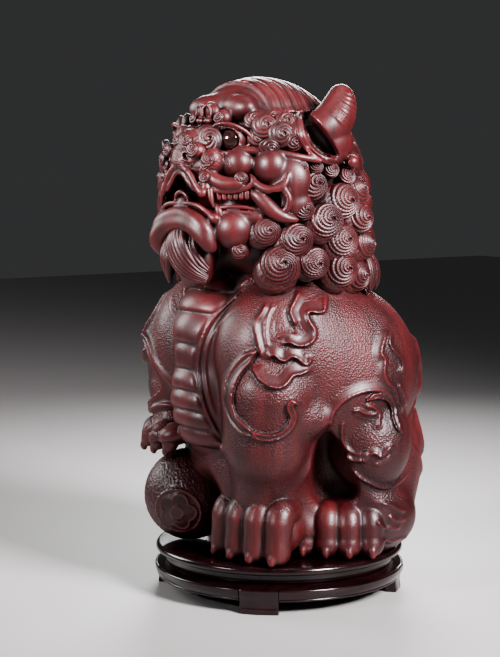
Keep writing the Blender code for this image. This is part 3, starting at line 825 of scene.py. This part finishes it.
def model_head():
    """Skull, muzzle, open mouth, jaw, brows, ears and the mass under the mane."""
    clay = HeadClay((-108, -128, 232), (108, 96, 412), 0.9)
    clay.blob((0, -8, 330), (68, 70, 60), k=8)
    clay.blob((0, -10, 285), (79, 70, 46), k=8)
    clay.blob((0, -18, 369), (46, 48, 31), (-6, 0, 0), k=6)
    clay.blob((0, -62, 343), (36, 30, 24), k=6)
    clay.blob((0, -80, 334), (30, 22, 15), k=5)
    for _ in clay.both():
        # smooth forehead, two long swellings
        clay.blob((15, -57, 377), (20, 12, 11), (18, 0, -14), k=2.5)
        clay.blob((36, -55, 369), (12, 8, 6), (0, 20, -30), k=4)
        # pad of the brow, from the eye to the ear
        clay.bar((40, -54, 358), 13.5, (60, -37, 356), 14.5, k=5)
        # cheeks under a thin ledge
        clay.blob((34, -75, 336), (12.5, 12, 12.5), k=4)
        clay.blob((54, -61, 334), (13.5, 12.5, 14.5), k=4)
        clay.chain(((22, -84, 347), (34, -80, 346), (46, -72, 345.5), (58, -62, 344), (70, -50, 341),
            (78, -34, 338)), (1.6, 2.2, 2.4, 2.4, 2.4, 2.0), k=1.5)
        # smooth plate of the jaw hinge and the ground behind the mouth corner
        clay.blob((65, -53, 324), (9, 16, 17), (0, 0, -42), k=1.6)
        clay.blob((64, -50, 307), (9, 15, 13), (0, 0, -42), k=2.5)
        # roll of the lip under the front cheek
        clay.chain(((22, -94, 330), (27, -92, 324), (35, -88, 321), (43, -82, 321.5)), (3, 4.5, 4.5, 4),
            k=1.8)
    # nose
    clay.blob((0, -90, 350), (14, 13, 12), k=2.5)
    clay.blob((0, -96, 341), (16, 10, 9.5), k=2)
    clay.blob((0, -102, 337), (7, 5, 5), k=2)
    for _ in clay.both():
        clay.blob((24, -91, 338), (7, 8, 9.5), (0, 0, -20), k=1.4)
        clay.blob((13, -97, 345), (7, 7, 6), k=1.4)
        clay.chain(((6, -103, 343), (10, -104, 340), (15, -102, 339)), (1.2, 1.7, 1.0), k=0.8, cut=True)
        clay.blob((13, -82, 354), (9.5, 8, 10), k=1.4)
        clay.blob((21, -96, 326), (6, 5, 6), k=1.2)
        clay.blob((22, -97, 318), (4, 4, 5), k=1.2)
    # forehead jewel between two beads
    clay.blob((0, -72, 374), (9, 6, 8), k=1.6)
    for _ in clay.both():
        clay.blob((4.2, -76, 374.5), (4.2, 4, 5.5), k=0.8)
        clay.chain(((0.6, -81, 370.5), (1.2, -80.5, 377), (4.4, -79.5, 379.2), (7.6, -79, 376.5),
            (8.2, -79.5, 370.5)), (0.8, 0.9, 0.9, 0.9, 0.8), k=0.6)
        clay.blob((14.5, -72, 369.5), (6.5, 6, 6.5), k=1.2)
        clay.blob((4.5, -78, 367.5), (4.5, 3, 2.5), k=1.0)
    # mouth opened
    clay.blob((0, -88, 314), (27, 26, 12), k=2, cut=True)
    clay.blob((0, -99, 320), (12, 14, 8), k=2, cut=True)
    for _ in clay.both():
        clay.bar((26, -84, 310), 8, (49, -68, 308), 6.5, k=2, cut=True)
        clay.bar((49, -68, 308), 5, (58, -58, 308), 5, k=1.5, cut=True)
    # lower jaw
    clay.blob((0, -76, 288), (36, 24, 12), k=4)
    clay.blob((0, -88, 295), (27, 13, 9), k=3)
    for _ in clay.both():
        # upper lip: two thin arches under the nose, then the edge running back over the teeth
        clay.chain(((0, -103, 329.8), (4, -103, 328.3), (9, -102.5, 323), (14.5, -101.5, 317.5),
            (18, -99, 315.5)), (1.7, 1.7, 1.7, 1.6, 1.2), k=1.0)
        clay.chain(((0, -103.5, 334), (6, -103.5, 332.5), (12, -103, 327.5), (16, -102, 321.5),
            (19.5, -101, 316.5), (22, -99.5, 314)), (1.8, 1.9, 2.0, 2.0, 2.2, 2.9), k=1.2)
        clay.chain(((23, -97.5, 317), (30, -92, 316), (38, -87, 315.5), (45, -81.5, 317),
            (49.5, -77, 320.5), (50.5, -75, 325)), (1.8, 1.9, 1.9, 1.9, 1.9, 1.4), k=1.0)
        # fold round the mouth corner with a dark opening behind it
        clay.chain(((47.5, -75.5, 327), (52.5, -74, 321), (59, -70.5, 317.3), (65, -66, 317.5),
            (69, -61.5, 321), (70, -59, 328)), (1.6, 2.4, 2.8, 2.8, 2.6, 1.6), k=1.2)
        clay.chain(((69, -62, 318), (72, -60, 311), (71, -60.5, 304), (67, -63, 299.5)),
            (2.2, 2.4, 2.2, 1.6), k=1.2)
        clay.blob((62.5, -65, 309), (8, 4.8, 7.0), (0, 0, -44), k=1.0, cut=True)
        clay.chain(((45, -74, 315.5), (52, -72.5, 312.5), (58, -69, 306), (63.5, -65, 299.8),
            (68.5, -59.5, 296.2), (73, -53, 295)), (2.2, 4.4, 5.2, 4.8, 3.8, 1.6), k=1.2)
        # jowl ball and the small curl's bed under it
        clay.blob((34, -80, 288), (15.5, 15, 15.5), k=1.6)
        clay.blob((38, -77, 272), (7.5, 7.5, 7.5), k=1.5)
        clay.bar((30, -84, 297), 6, (50, -70, 297), 6.5, k=3)
        for z, r in ((304.5, 1.3), (300.8, 1.2), (297.4, 1.1)):
            clay.chain(((30, -91, z - 1), (38, -86.5, z), (46, -80, z - 0.5), (54, -72.5, z - 2.5)),
                (r, r, r, 0.8), k=1.0)
        # rim of the lower lip
        clay.chain(((0, -100.5, 306), (8, -101.5, 306.5), (16, -101, 305.5), (22.5, -99.5, 302.5),
            (27, -97.5, 298.5), (31.5, -94, 293)), (1.6, 1.5, 1.5, 1.5, 1.6, 1.4), k=1.0)
        clay.blob((29, -95, 296), (5, 4, 4), k=1.5)
    # smooth arched chin
    clay.chain(((-28.5, -97, 281), (-24, -99.5, 290), (-14, -101, 295), (0, -100.5, 298.3),
        (14, -101, 295), (22.5, -99.5, 288.5), (26, -96.5, 281)), (6, 6, 5.6, 5.0, 5.2, 5.0, 4.0), k=3)
    clay.chain(((-26, -95, 270.5), (-28, -98.5, 278), (-22, -101, 285), (-13, -102, 290), (0, -102, 292),
        (11, -102, 290.5), (18.5, -101, 286.5), (24, -98.5, 280), (26, -95, 274)),
        (4.5, 6.4, 5.2, 4.4, 3.8, 4.2, 4.4, 4.2, 3.0), k=4)
    # tongue, its tip turned up behind the lip
    clay.chain(((0, -66, 300), (0, -84, 301), (0, -94, 304), (0, -97, 308)), (14, 12, 7.5, 4.2), k=2)
    clay.chain(((-7.5, -100.5, 308.5), (-5.5, -101.5, 312.5), (0, -102, 315), (5.5, -101.5, 312.5),
        (7.5, -100.5, 308.5)), (1.0, 1.4, 1.5, 1.4, 1.0), k=0.8)
    clay.blob((0, -88, 266), (19, 14, 24), k=5)
    # eye sockets and lids
    for _ in clay.both():
        clay.blob(EYE, (12.2, 12.2, 11.6), k=2.2)
        clay.blob(EYE + vec(2.5, -7.5, -0.5), (10.4, 9, 8.8), (0, 0, -30), k=1.0, cut=True)
        clay.blob(EYE, (9.3, 9.3, 9.3), k=0.6, cut=True)
        clay.chain(((17, -87, 361), (25, -86.5, 365), (34, -80, 364), (40, -71, 358), (42, -67, 350)),
            (0.9, 1.3, 1.4, 1.4, 0.9), k=0.8)
        clay.chain(((20, -88, 345.5), (29, -85, 343.8), (37, -78, 345.5), (41, -70.5, 350)),
            (0.9, 1.3, 1.3, 0.9), k=0.8)
    # ears: a cupped shell folded forward, its tip upright and ringed
    for _ in clay.both():
        clay.blob((63, -18, 352), (19, 24, 21), (0, 0, -30), k=4)
        clay.chain(((68, -24, 360), (71, -13, 368), (70, -6, 377), (68, -2, 384), (66.5, -1, 387)),
            (13, 13.5, 11.5, 8.6, 6.2), k=3)
        slit = [clay.seen(u, z) for u, z in ((18.5, 371.5), (21.5, 366), (27, 356.5), (33.5, 348),
            (40.5, 342))]
        inward = vec(-0.80, 0.60, 0)
        clay.chain([p + inward * 2.0 for p in slit], (2.4, 5.0, 7.2, 6.8, 3.6), k=1.0, cut=True)
        clay.chain([p + inward * 8.0 for p in slit[1:]], (4.0, 6.0, 5.6, 2.4), k=1.0, cut=True)
        for strand, r in (
            (((13.7, 368), (14.4, 357), (18.9, 348), (26.3, 340.6), (37.4, 336.2), (49, 335.5)), 1.7),
            (((15.9, 368), (17.4, 357), (22.2, 348.2), (29.5, 341.8), (39.6, 338.6), (49.5, 338.3)), 1.4),
            (((17.5, 370), (20.0, 359), (24.5, 350.5), (31.5, 344), (41.5, 340.8)), 1.2),
        ):
            clay.chain([clay.seen(u, z) for u, z in strand],
                [r * 0.8] + [r] * (len(strand) - 2) + [r * 0.6], k=0.6)
        knot = clay.seen(15, 371)
        clay.bar(knot, 3.2, knot - (0, 0, 3), 3.0, k=1.2)
        clay.blob((79, -1, 337), (5.2, 5.5, 5.2), k=1.2)
        fifths = (0, 0.2, 0.4, 0.6, 0.8, 1)
        for i in range(8):
            t = i / 7
            start = (38 + 10 * t, 372.8 + 15.6 * t)
            rim = np.interp(t, fifths, (51, 54.5, 56.5, 56.5, 56, 54.5))
            stop = (rim, np.interp(t, fifths, (360.5, 363.5, 368, 374, 380, 386)))
            middle = ((start[0] + stop[0]) / 2 + 0.5, (start[1] + stop[1]) / 2 - 0.3)
            clay.chain([clay.seen(u, z) for u, z in (start, middle, stop)], (0.7, 1.25, 0.7), k=0.5,
                spans=4)

    near, pos = clay.shell(4.0)
    x, y, z = (pos[:, i].astype(np.float64) for i in range(3))
    clay.field[near] -= hair_cap(*head_level(x, y), z).astype(np.float32)
    verts, quads = clay.surface()
    # Cavity tone: painted shade in the hollows of the carving.
    cavity = hollow_tone(verts, quads, 6, 1.3)
    ahead = head_level(verts[:, 0], verts[:, 1])[1]
    punch = np.where((ahead < -86) & (verts[:, 2] > 330) & (verts[:, 2] < 366), 0.9, 0.12)
    return add_mesh("lion_head", verts, quads, WOOD, FIGURE, cavity, punch), clay


def hair_cap(x, y, z):
    """Hair of the crown: broad strands parted in the middle, combed to each side and fanned over the back."""
    ax = np.abs(x)
    front = -50 + 0.0016 * ax * ax
    low = np.interp(y, [-50, -30, -10, 14, 30, 44, 60], [372, 373, 374, 362, 345, 332, 318])
    wide = 52 + 24 * ease(6, 26, y)
    inside = ease(0, 2.2, y - front) * ease(-1.5, 1.5, z - low) * ease(wide + 1.5, wide - 1.5, ax)
    edge = 1.3 * np.exp(-((y - front - 2.2) / 2.0) ** 2) + 1.3 * np.exp(-((z - low - 2.0) / 2.0) ** 2)
    fan = np.degrees(np.arctan2(y - 14, ax + 0.01)) * 0.87
    comb = np.where(y < 14, y - 14 + 0.10 * ax * ease(14, 0, y), fan) / 9.4 + 0.064 * np.sin(ax * 0.12)
    strand = np.abs(np.sin(math.pi * comb)) ** 0.55
    strand = strand * (0.62 + 0.38 * np.abs(np.sin(2 * math.pi * comb)) ** 0.6)
    parting = ease(1.0, 5.0, ax + 6 * ease(14, 30, y))
    return inside * (1.6 + edge - 1.9 * (1 - strand) * parting)


def small_curls(clay):
    """Fine scrolls of the brow, cheek, nose and jowl, and the teeth."""
    scrolls = (
        (38.5, -64.5, 367.5, 7.0, 2.6, (0.66, -0.68, 0.32)), (46, -60, 362.5, 9.5, 3.2, (0.66, -0.72, 0.2)),
        (56, -53, 356.5, 10.0, 3.4, (0.70, -0.70, 0.05)), (42, -63, 354, 8.0, 2.2, (0.68, -0.72, 0.0)),
        (57.5, -50, 366, 8.5, 2.6, (0.66, -0.65, 0.4)), (49, -58, 350, 8.0, 2.0, (0.68, -0.68, -0.3)),
        (49, -54, 370.5, 6.5, 2.2, (0.6, -0.55, 0.6)), (62, -46, 352, 7.0, 2.2, (0.74, -0.64, -0.2)),
        (13.5, -86, 352.5, 12.0, 5.4, (0.42, -0.88, 0.12)), (43, -80.5, 325, 5.6, 3.4, (0.66, -0.75, -0.1)),
        (40, -79.5, 272, 6.2, 3.2, (0.66, -0.75, -0.1)), (23, -98, 326, 4.4, 2.6, (0.4, -0.92, 0.0)),
        (22.5, -99, 335, 4.2, 2.0, (0.35, -0.9, 0.1)), (10, -104, 335, 3.2, 1.6, (0.1, -1.0, 0.0)),
        (14.5, -76.5, 369.5, 4.6, 2.4, (0.2, -0.95, 0.2)), (14, -103, 346, 5.2, 2.2, (0.32, -0.94, 0.1)),
        (25, -97, 339, 5.6, 2.6, (0.5, -0.86, 0.1)), (20, -100, 320, 3.6, 2.0, (0.4, -0.9, 0.0)),
        (5.5, -101, 353, 4.6, 2.0, (0.15, -0.9, 0.4)),
    )
    brows = Patchwork()
    for x, y, z, r, rise, n in scrolls:
        for side in clay.both():
            out = clay.place(unit(n))
            seat = clay.drop(clay.place((x, y, z)), out) - out * 0.8
            shell = curl_shell(seat, out, vec(0.2, 0, 1), r, rise, arms=3 if r > 5 else 2,
                turns=1.15 if r > 5 else 1.2,
                               hand=side, depth=0.75, sink=4.0, rings=24, sides=64)
            brows.append(shell)
    teeth = Patchwork()
    for side in (1, -1):
        for i in range(6):
            t = i / 5
            spot = vec(side * (29.5 + 17.5 * t), -90.5 + 12.0 * t, 312.2 + 0.8 * t)
            out = unit(vec(side * 0.55, -0.83, 0))
            teeth.append(tooth(head_point(spot), head_point(out), 1.9 - 0.15 * t, 3.6))
        teeth.append(fang(((side * 26, -96, 318), (side * 27.5, -96.5, 311), (side * 29.5, -95.5, 303.5)),
            (2.4, 2.1, 0.5)))
        teeth.append(fang(((side * 31, -90, 296), (side * 30.5, -92, 302), (side * 28.5, -93.5, 307)),
            (3.6, 2.8, 0.5)))
    return [brows.build("face_scrolls", 0.1), teeth.build("teeth", 0.0)]


def tooth(centre, out, half, height):
    """Blunt front tooth: a rounded peg, square in plan."""
    rings, sides = 12, 20
    across = unit(np.cross((0, 0, 1), out))
    t = np.linspace(-1, 1, rings)[:, None]
    a = np.linspace(0, math.tau, sides, endpoint=False)[None, :]
    waist = np.clip(1 - np.abs(t) ** 5, 0.02, 1) ** 0.5
    c, s = np.cos(a), np.sin(a)
    square = 1 / np.maximum(np.abs(c) ** 4 + np.abs(s) ** 4, 1e-6) ** 0.25
    local = np.stack([c * square * half * waist, s * square * half * waist * 0.9, t * height + 0 * c],
        axis=-1).reshape(-1, 3)
    verts = centre + local[:, :1] * across + local[:, 1:2] * out + local[:, 2:] * vec(0, 0, 1)
    return verts, grid_quads(rings, sides), np.full(len(verts), 0.32)


def fang(points, radii):
    """Round tapering tooth along a curve given in the head's frame."""
    line = smooth_line([(*head_point(p), r) for p, r in zip(points, radii)], 6)
    spine, radius = line[:, :3], line[:, 3:]
    across = unit(np.cross(unit(np.gradient(spine, axis=0)), (0.3, 1.0, 0.1)))
    upward = np.cross(unit(np.gradient(spine, axis=0)), across)
    angles = np.linspace(0, math.tau, 18, endpoint=False)
    rows = np.stack([spine + radius * (math.cos(a) * across + math.sin(a) * upward) for a in angles],
        axis=1)
    verts = closed_tube(rows, spine)
    return verts, grid_quads(len(line) + 2, len(angles)), np.full(len(verts), 0.32)


def model_beard():
    """Beard of combed locks, parted under the chin and swept to both sides."""
    locks = (
        (((-5, -97, 290), (-2, -103.5, 280), (1.5, -104.5, 270), (6.5, -102.5, 261), (12.5, -98, 254),
            (19, -92.5, 250)), (17, 23, 23, 20, 14, 7), 7),
        (((7, -96, 289), (10, -101, 278), (13, -100.5, 269), (16.5, -97, 262), (20, -92.5, 257)),
            (8, 11, 11, 9, 5), 3),
        (((-18, -97, 284), (-15, -102.5, 271), (-15.5, -102.5, 260), (-19, -97, 246)), (11, 17, 16, 5), 5),
        (((-12, -95, 287), (-9, -99, 274), (-9, -99, 262), (-11, -95, 248)), (9, 13, 13, 5), 4),
        (((-20, -93, 286), (-24, -95, 276), (-29, -90, 265), (-34, -83, 255)), (8, 13, 13, 4), 4),
    )
    beard = Patchwork()
    for points, widths, strands in locks:
        normals = [head_point(unit(vec(0.028 * p[0], -1.0, 0.05))) for p in points]
        beard.append(lock_shell([head_point(p) for p in points], widths, normals, rise=0.55,
            strands=strands, depth=1.1, sides=72, sink=0.7, spans=10))
    return beard.build("beard", 0.0)


def mane_normal(p):
    """Outward direction on the mane's egg shape."""
    return unit(vec(p[0] / 86**2, (p[1] + 10) / 78**2, (p[2] - 292) / 110**2))


MANE = (
    (78, -39, 320, 11.5), (87, -14, 308, 14.5), (79, 14, 316, 12), (76, -48, 302, 8.5),
    (86.5, -33, 293, 14.5),
    (91, -19, 277, 13.5), (91, 2, 295, 11.5), (86, 15, 273, 12.5), (62, -74, 286, 11),
    (78.5, -58, 279.5, 13),
    (71, -68, 259.5, 16), (85, -45.5, 262, 12.5), (90, -18, 255, 13.5), (86, 6, 249, 12),
    (74.5, -51, 333, 7),
    (76, -35, 334, 6), (77, -19, 332, 6.5), (80, -4, 327, 7),
    (66, 35, 305, 15), (61, 43, 278, 16.5), (47, 53, 320, 15), (41, 60, 291, 16.5), (22, 66, 308, 15),
    (20, 68, 278, 16.5), (75, 30, 250, 14.5), (48, 54, 253, 16), (18, 64, 250, 15.5), (19, 59, 335, 15),
    (42, 44, 344, 14), (61, 26, 340, 13), (0, 70, 293, 13), (0, 68, 263, 13), (0, 63, 322, 13),
    (70, 8, 338, 9),
)
FAR_SIDE = {8: (-60, -60, 288, 11), 9: (-74, -46, 281, 13), 10: (-68, -50, 261, 15),
    11: (-80, -32, 263, 13), 12: (-86, -10, 257, 13.5)}


def model_mane():
    """Swirled curls round the sides and back of the head, most of them over a lower curl, and side locks."""
    groups = {"mane_left": Patchwork(), "mane_right": Patchwork(), "mane_back": Patchwork()}
    for i, (x, y, z, r) in enumerate(MANE):
        for side in ((1, -1) if x else (1,)):
            apex, radius = vec(x * side, y, z), r
            if side == -1 and i in FAR_SIDE:
                apex, radius = vec(*FAR_SIDE[i][:3]), FAR_SIDE[i][3]
            n = mane_normal(apex)
            n = unit(n + vec(side * 0.72, -0.69, 0.05) * 0.75 * ease(24, -4, y))
            rise = radius * 0.74
            tilt = 0.45 * math.sin(i * 2.4)
            up = vec(-n[1] * tilt, n[0] * tilt, 1.0)
            across = unit(np.cross(up, n))
            group = groups["mane_back" if y > 24 else ("mane_left" if side > 0 else "mane_right")]
            out, lift = head_point(n), head_point(up)
            group.append(curl_shell(head_point(apex - n * rise), out, lift, radius, rise,
                arms=6 if radius > 12 else 5,
                                  turns=1.0 + 0.1 * (i % 3), hand=side, depth=min(2.2, radius * 0.155),
                                  sink=6.0))
            if radius > 8:
                low = apex - n * (rise + 3.0) - across * side * radius * 0.34 - unit(np.cross(n,
                    across)) * radius * 0.26
                group.append(curl_shell(head_point(low), out, lift, radius * 1.06, rise * 0.92, arms=7,
                    turns=0.95, hand=side,
                                      depth=min(1.5, radius * 0.11), sink=6.0, rings=16, sides=64))
    for side, key in ((1, "mane_left"), (-1, "mane_right")):
        for fall, wide in (((78, 18), 11), ((66, 36), 13)):
            points = [head_point((side * fall[0] * s, fall[1] * s, z)) for s,
                z in ((0.97, 268), (1.03, 257), (1.04, 246), (1.02, 238))]
            groups[key].append(lock_shell(points, (7, wide, wide, 5),
                [head_point(unit(vec(side * fall[0], fall[1] + 10, 0)))] * 4, rise=0.5, strands=4,
                depth=1.0, sides=48, sink=0.6))
    return [groups[key].build(key) for key in groups]


head_piece, head_clay = model_head()
mane_pieces = model_mane()
face_pieces = small_curls(head_clay)
beard_piece = model_beard()


# ---- stand
def stand_part(name, cad, sections, joined=False):
    """Piece of the stand from its sections in order, joined round or closed by flat ends."""
    rows, count = len(sections), len(sections[0])
    corner = np.arange(rows * count).reshape(rows, count)
    if joined:
        corner = np.vstack([corner, corner[:1]])
    ahead = np.roll(corner, -1, axis=1)
    faces = np.stack([corner[:-1], ahead[:-1], ahead[1:], corner[1:]], axis=-1).reshape(-1, 4).tolist()
    if not joined:
        faces += [corner[0, ::-1].tolist(), corner[-1].tolist()]
    obj = add_mesh(name, np.concatenate(sections), faces, STAND_WOOD, STAND)
    obj.data.set_sharp_from_angle(angle=math.radians(50))
    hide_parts(cad)


def swept(outline, start, stop, steps):
    """Sections of a closed (radius, height) outline turned from one azimuth to another, in degrees."""
    r, z = np.array(outline).T
    angles = np.radians(np.linspace(start, stop, steps + 1))
    return [np.stack([r * math.sin(a), -r * math.cos(a), z], axis=1) for a in angles]


def rounded(a0, a1, cr, cz, r, n):
    """Points of an arc in a (radius, height) outline."""
    return [(cr + r * math.cos(a), cz + r * math.sin(a)) for a in np.radians(np.linspace(a0, a1, n))]


TOP_Z = 36.0
TOP_R = 98.5
DISC_LOW = 29.8
APRON_TOP = 22.5
APRON_LOW = 10.0
APRON_BACK = 88.5
FOOT_HALF = 14.85  # half the width of a bracket foot
JOINT_HALF = 0.15  # half the gap between neighbours


def apron_outline(low):
    """Section of the apron: sloping shoulder with a crisp arris, swelling face, small bead and flat back."""
    out = [(APRON_BACK, APRON_TOP - 0.3), (89.6, APRON_TOP - 0.3)]
    out += [(89.6 + 8.2 * t, APRON_TOP - 0.5 - 2.6 * t**1.6) for t in np.linspace(0.08, 1, 8)]
    out += rounded(70, 0, 97.9, 18.3, 1.4, 5)
    out += [(99.3 - 2.0 * ((18.3 - z) / 6.8) ** 2.2, z) for z in np.linspace(17.4, 12.2, 7)]
    if low > 0:
        out += rounded(60, -80, 96.6, 11.2, 1.0, 7) + [(95.0, low)]
    else:
        out += [(97.0, 11.0), (96.6, 8.0), (96.8, 4.5), (97.4, 2.0), (97.2, 0.4), (96.8, 0.0)]
    out += [(APRON_BACK, low)]
    return out[::-1]


def foot_sections(azimuth):
    """Bracket foot: the apron's section carried down to the floor, straight-sided, ridged up its middle."""
    radius, z = np.array(apron_outline(0.0)).T
    a = math.radians(azimuth)
    out, side = vec(math.sin(a), -math.cos(a), 0), vec(math.cos(a), math.sin(a), 0)
    sections = []
    for y in np.linspace(-FOOT_HALF, FOOT_HALF, 23):
        ridge = 0.55 * math.exp(-((y / 1.6) ** 2))
        flare = 0.5 * (abs(y) / FOOT_HALF) ** 6
        r = radius + np.where(radius > 95, ridge - flare, 0)
        sections.append(np.sqrt(r * r - y * y)[:, None] * out + y * side + z[:, None] * vec(0, 0, 1))
    return sections


def model_stand():
    """Top, waist, aprons and feet of the stand."""
    edge = rounded(90, -90, TOP_R - 3.1, 32.9, 3.1, 14)
    top = [(0.5, TOP_Z), (60.0, TOP_Z), (88.0, TOP_Z)] + edge + [(60.0, DISC_LOW), (0.5, DISC_LOW)]
    stand_part("stand_top_disc", "stand_top", swept(top[::-1], 0, 360, 240)[:-1], joined=True)
    waist = [(82.5, 22.5), (89.9, 22.5), (90.5, 23.2), (89.6, 26.0), (90.5, 28.9), (90.0, 29.5),
        (82.5, 29.5)]
    joint = math.degrees(JOINT_HALF / 90)
    foot = math.degrees(math.asin((FOOT_HALF + 2 * JOINT_HALF) / 97))
    for i in range(1, 5):
        start, stop = 90 * i - 45, 90 * i + 45
        stand_part(f"waist_ring_{i}", f"waist_{i}", swept(waist, start + joint, stop - joint, 60))
        stand_part(f"apron_ring_{i}", f"apron_{i}",
            swept(apron_outline(APRON_LOW), start + foot, stop - foot, 60))
        stand_part(f"bracket_foot_{i}", f"foot_{i}", foot_sections(start))


model_stand()


# ---- eyes
for side, label in ((1, "left"), (-1, "right")):
    beads = head_point(EYE * vec(side, 1, 1)) + ball_directions(40, 64, 0.01) * EYE_RADIUS
    eye = add_mesh(f"eye_bead_{label}", beads, grid_quads(40, 64), GLASS, FIGURE)
    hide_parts(f"eye_{label}")
for piece in [body_piece, tail_piece, ball_piece, head_piece, beard_piece] + mane_pieces + face_pieces:
    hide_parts("lion_figure")


# ---- camera, floor and light
def look(location, target, lens, roll):
    """Camera aimed at a point and rolled about its line of sight."""
    data = bpy.data.cameras.new("camera")
    data.sensor_width = 36.0
    data.lens = lens
    cam = placed("camera", data)
    cam.location = location
    aim = Vector(target) - Vector(location)
    cam.rotation_mode = "QUATERNION"
    cam.rotation_quaternion = Matrix.Rotation(roll, 3, "Z").to_quaternion() @ aim.to_track_quat("-Z", "Y")
    bpy.context.scene.camera = cam


AZIMUTH = math.radians(54.0)
DISTANCE = 1.30
EYE_LEVEL = 0.345
PITCH = math.radians(6.134)
ROLL = math.radians(1.024)
LENS = 90.47
FLOOR_HALF = 3.0
spot = Vector((math.sin(AZIMUTH) * DISTANCE, -math.cos(AZIMUTH) * DISTANCE, EYE_LEVEL))
look(spot, (0, 0, EYE_LEVEL - DISTANCE * math.tan(PITCH)), LENS, ROLL)


def area_light(name, place, target, size, power, spread=180, colour=(1, 1, 1)):
    """Softbox: a square lamp, its beam limited by a grid."""
    data = bpy.data.lights.new(name, "AREA")
    data.shape = "RECTANGLE"
    data.size, data.size_y = size
    data.energy = power
    data.spread = math.radians(spread)
    data.color = colour
    obj = placed(name, data)
    obj.location = place
    obj.rotation_mode = "QUATERNION"
    obj.rotation_quaternion = (Vector(target) - Vector(place)).to_track_quat("-Z", "Y")


def around(azimuth, distance, height):
    """Place at an azimuth, in degrees round from the front towards the lion's left."""
    a = math.radians(azimuth)
    return (math.sin(a) * distance, -math.cos(a) * distance, height)


area_light("key", around(98, 1.15, 0.84), (0, 0, 0.27), (0.36, 0.42), 8.4, 62, (1.0, 0.94, 0.98))
area_light("fill", around(2, 1.15, 0.70), (0, 0, 0.40), (0.34, 0.40), 1.7, 30, (1.0, 0.95, 0.98))
area_light("top", (0.0, 0.1, 1.30), (0, 0, 0.20), (0.60, 0.60), 1.8)
area_light("back", around(232, 1.25, 0.75), (0, 0, 0.24), (0.60, 0.60), 4.0, 80)
area_light("far_side", around(300, 1.25, 0.70), (0, 0, 0.24), (0.60, 0.60), 2.4, 80)

bpy.context.scene.view_settings.look = "AgX - Medium High Contrast"
world = bpy.data.worlds.new("studio")
bpy.context.scene.world = world
world.use_nodes = True
air = world.node_tree.nodes["Background"].inputs
air["Color"].default_value = (0.80, 0.81, 0.83, 1)
air["Strength"].default_value = 0.055

floor_mesh = bpy.data.meshes.new("floor")
corners = [(x * FLOOR_HALF, y * FLOOR_HALF, 0) for x, y in ((-1, -1), (1, -1), (1, 1), (-1, 1))]
floor_mesh.from_pydata(corners, [], [(0, 1, 2, 3)])
floor_mat = bpy.data.materials.new("floor")
floor_mat.use_nodes = True
surface = floor_mat.node_tree.nodes["Principled BSDF"].inputs
surface["Base Color"].default_value = (0.46, 0.45, 0.44, 1)
surface["Roughness"].default_value = 0.6
floor_mesh.materials.append(floor_mat)
floor_obj = placed("floor", floor_mesh)
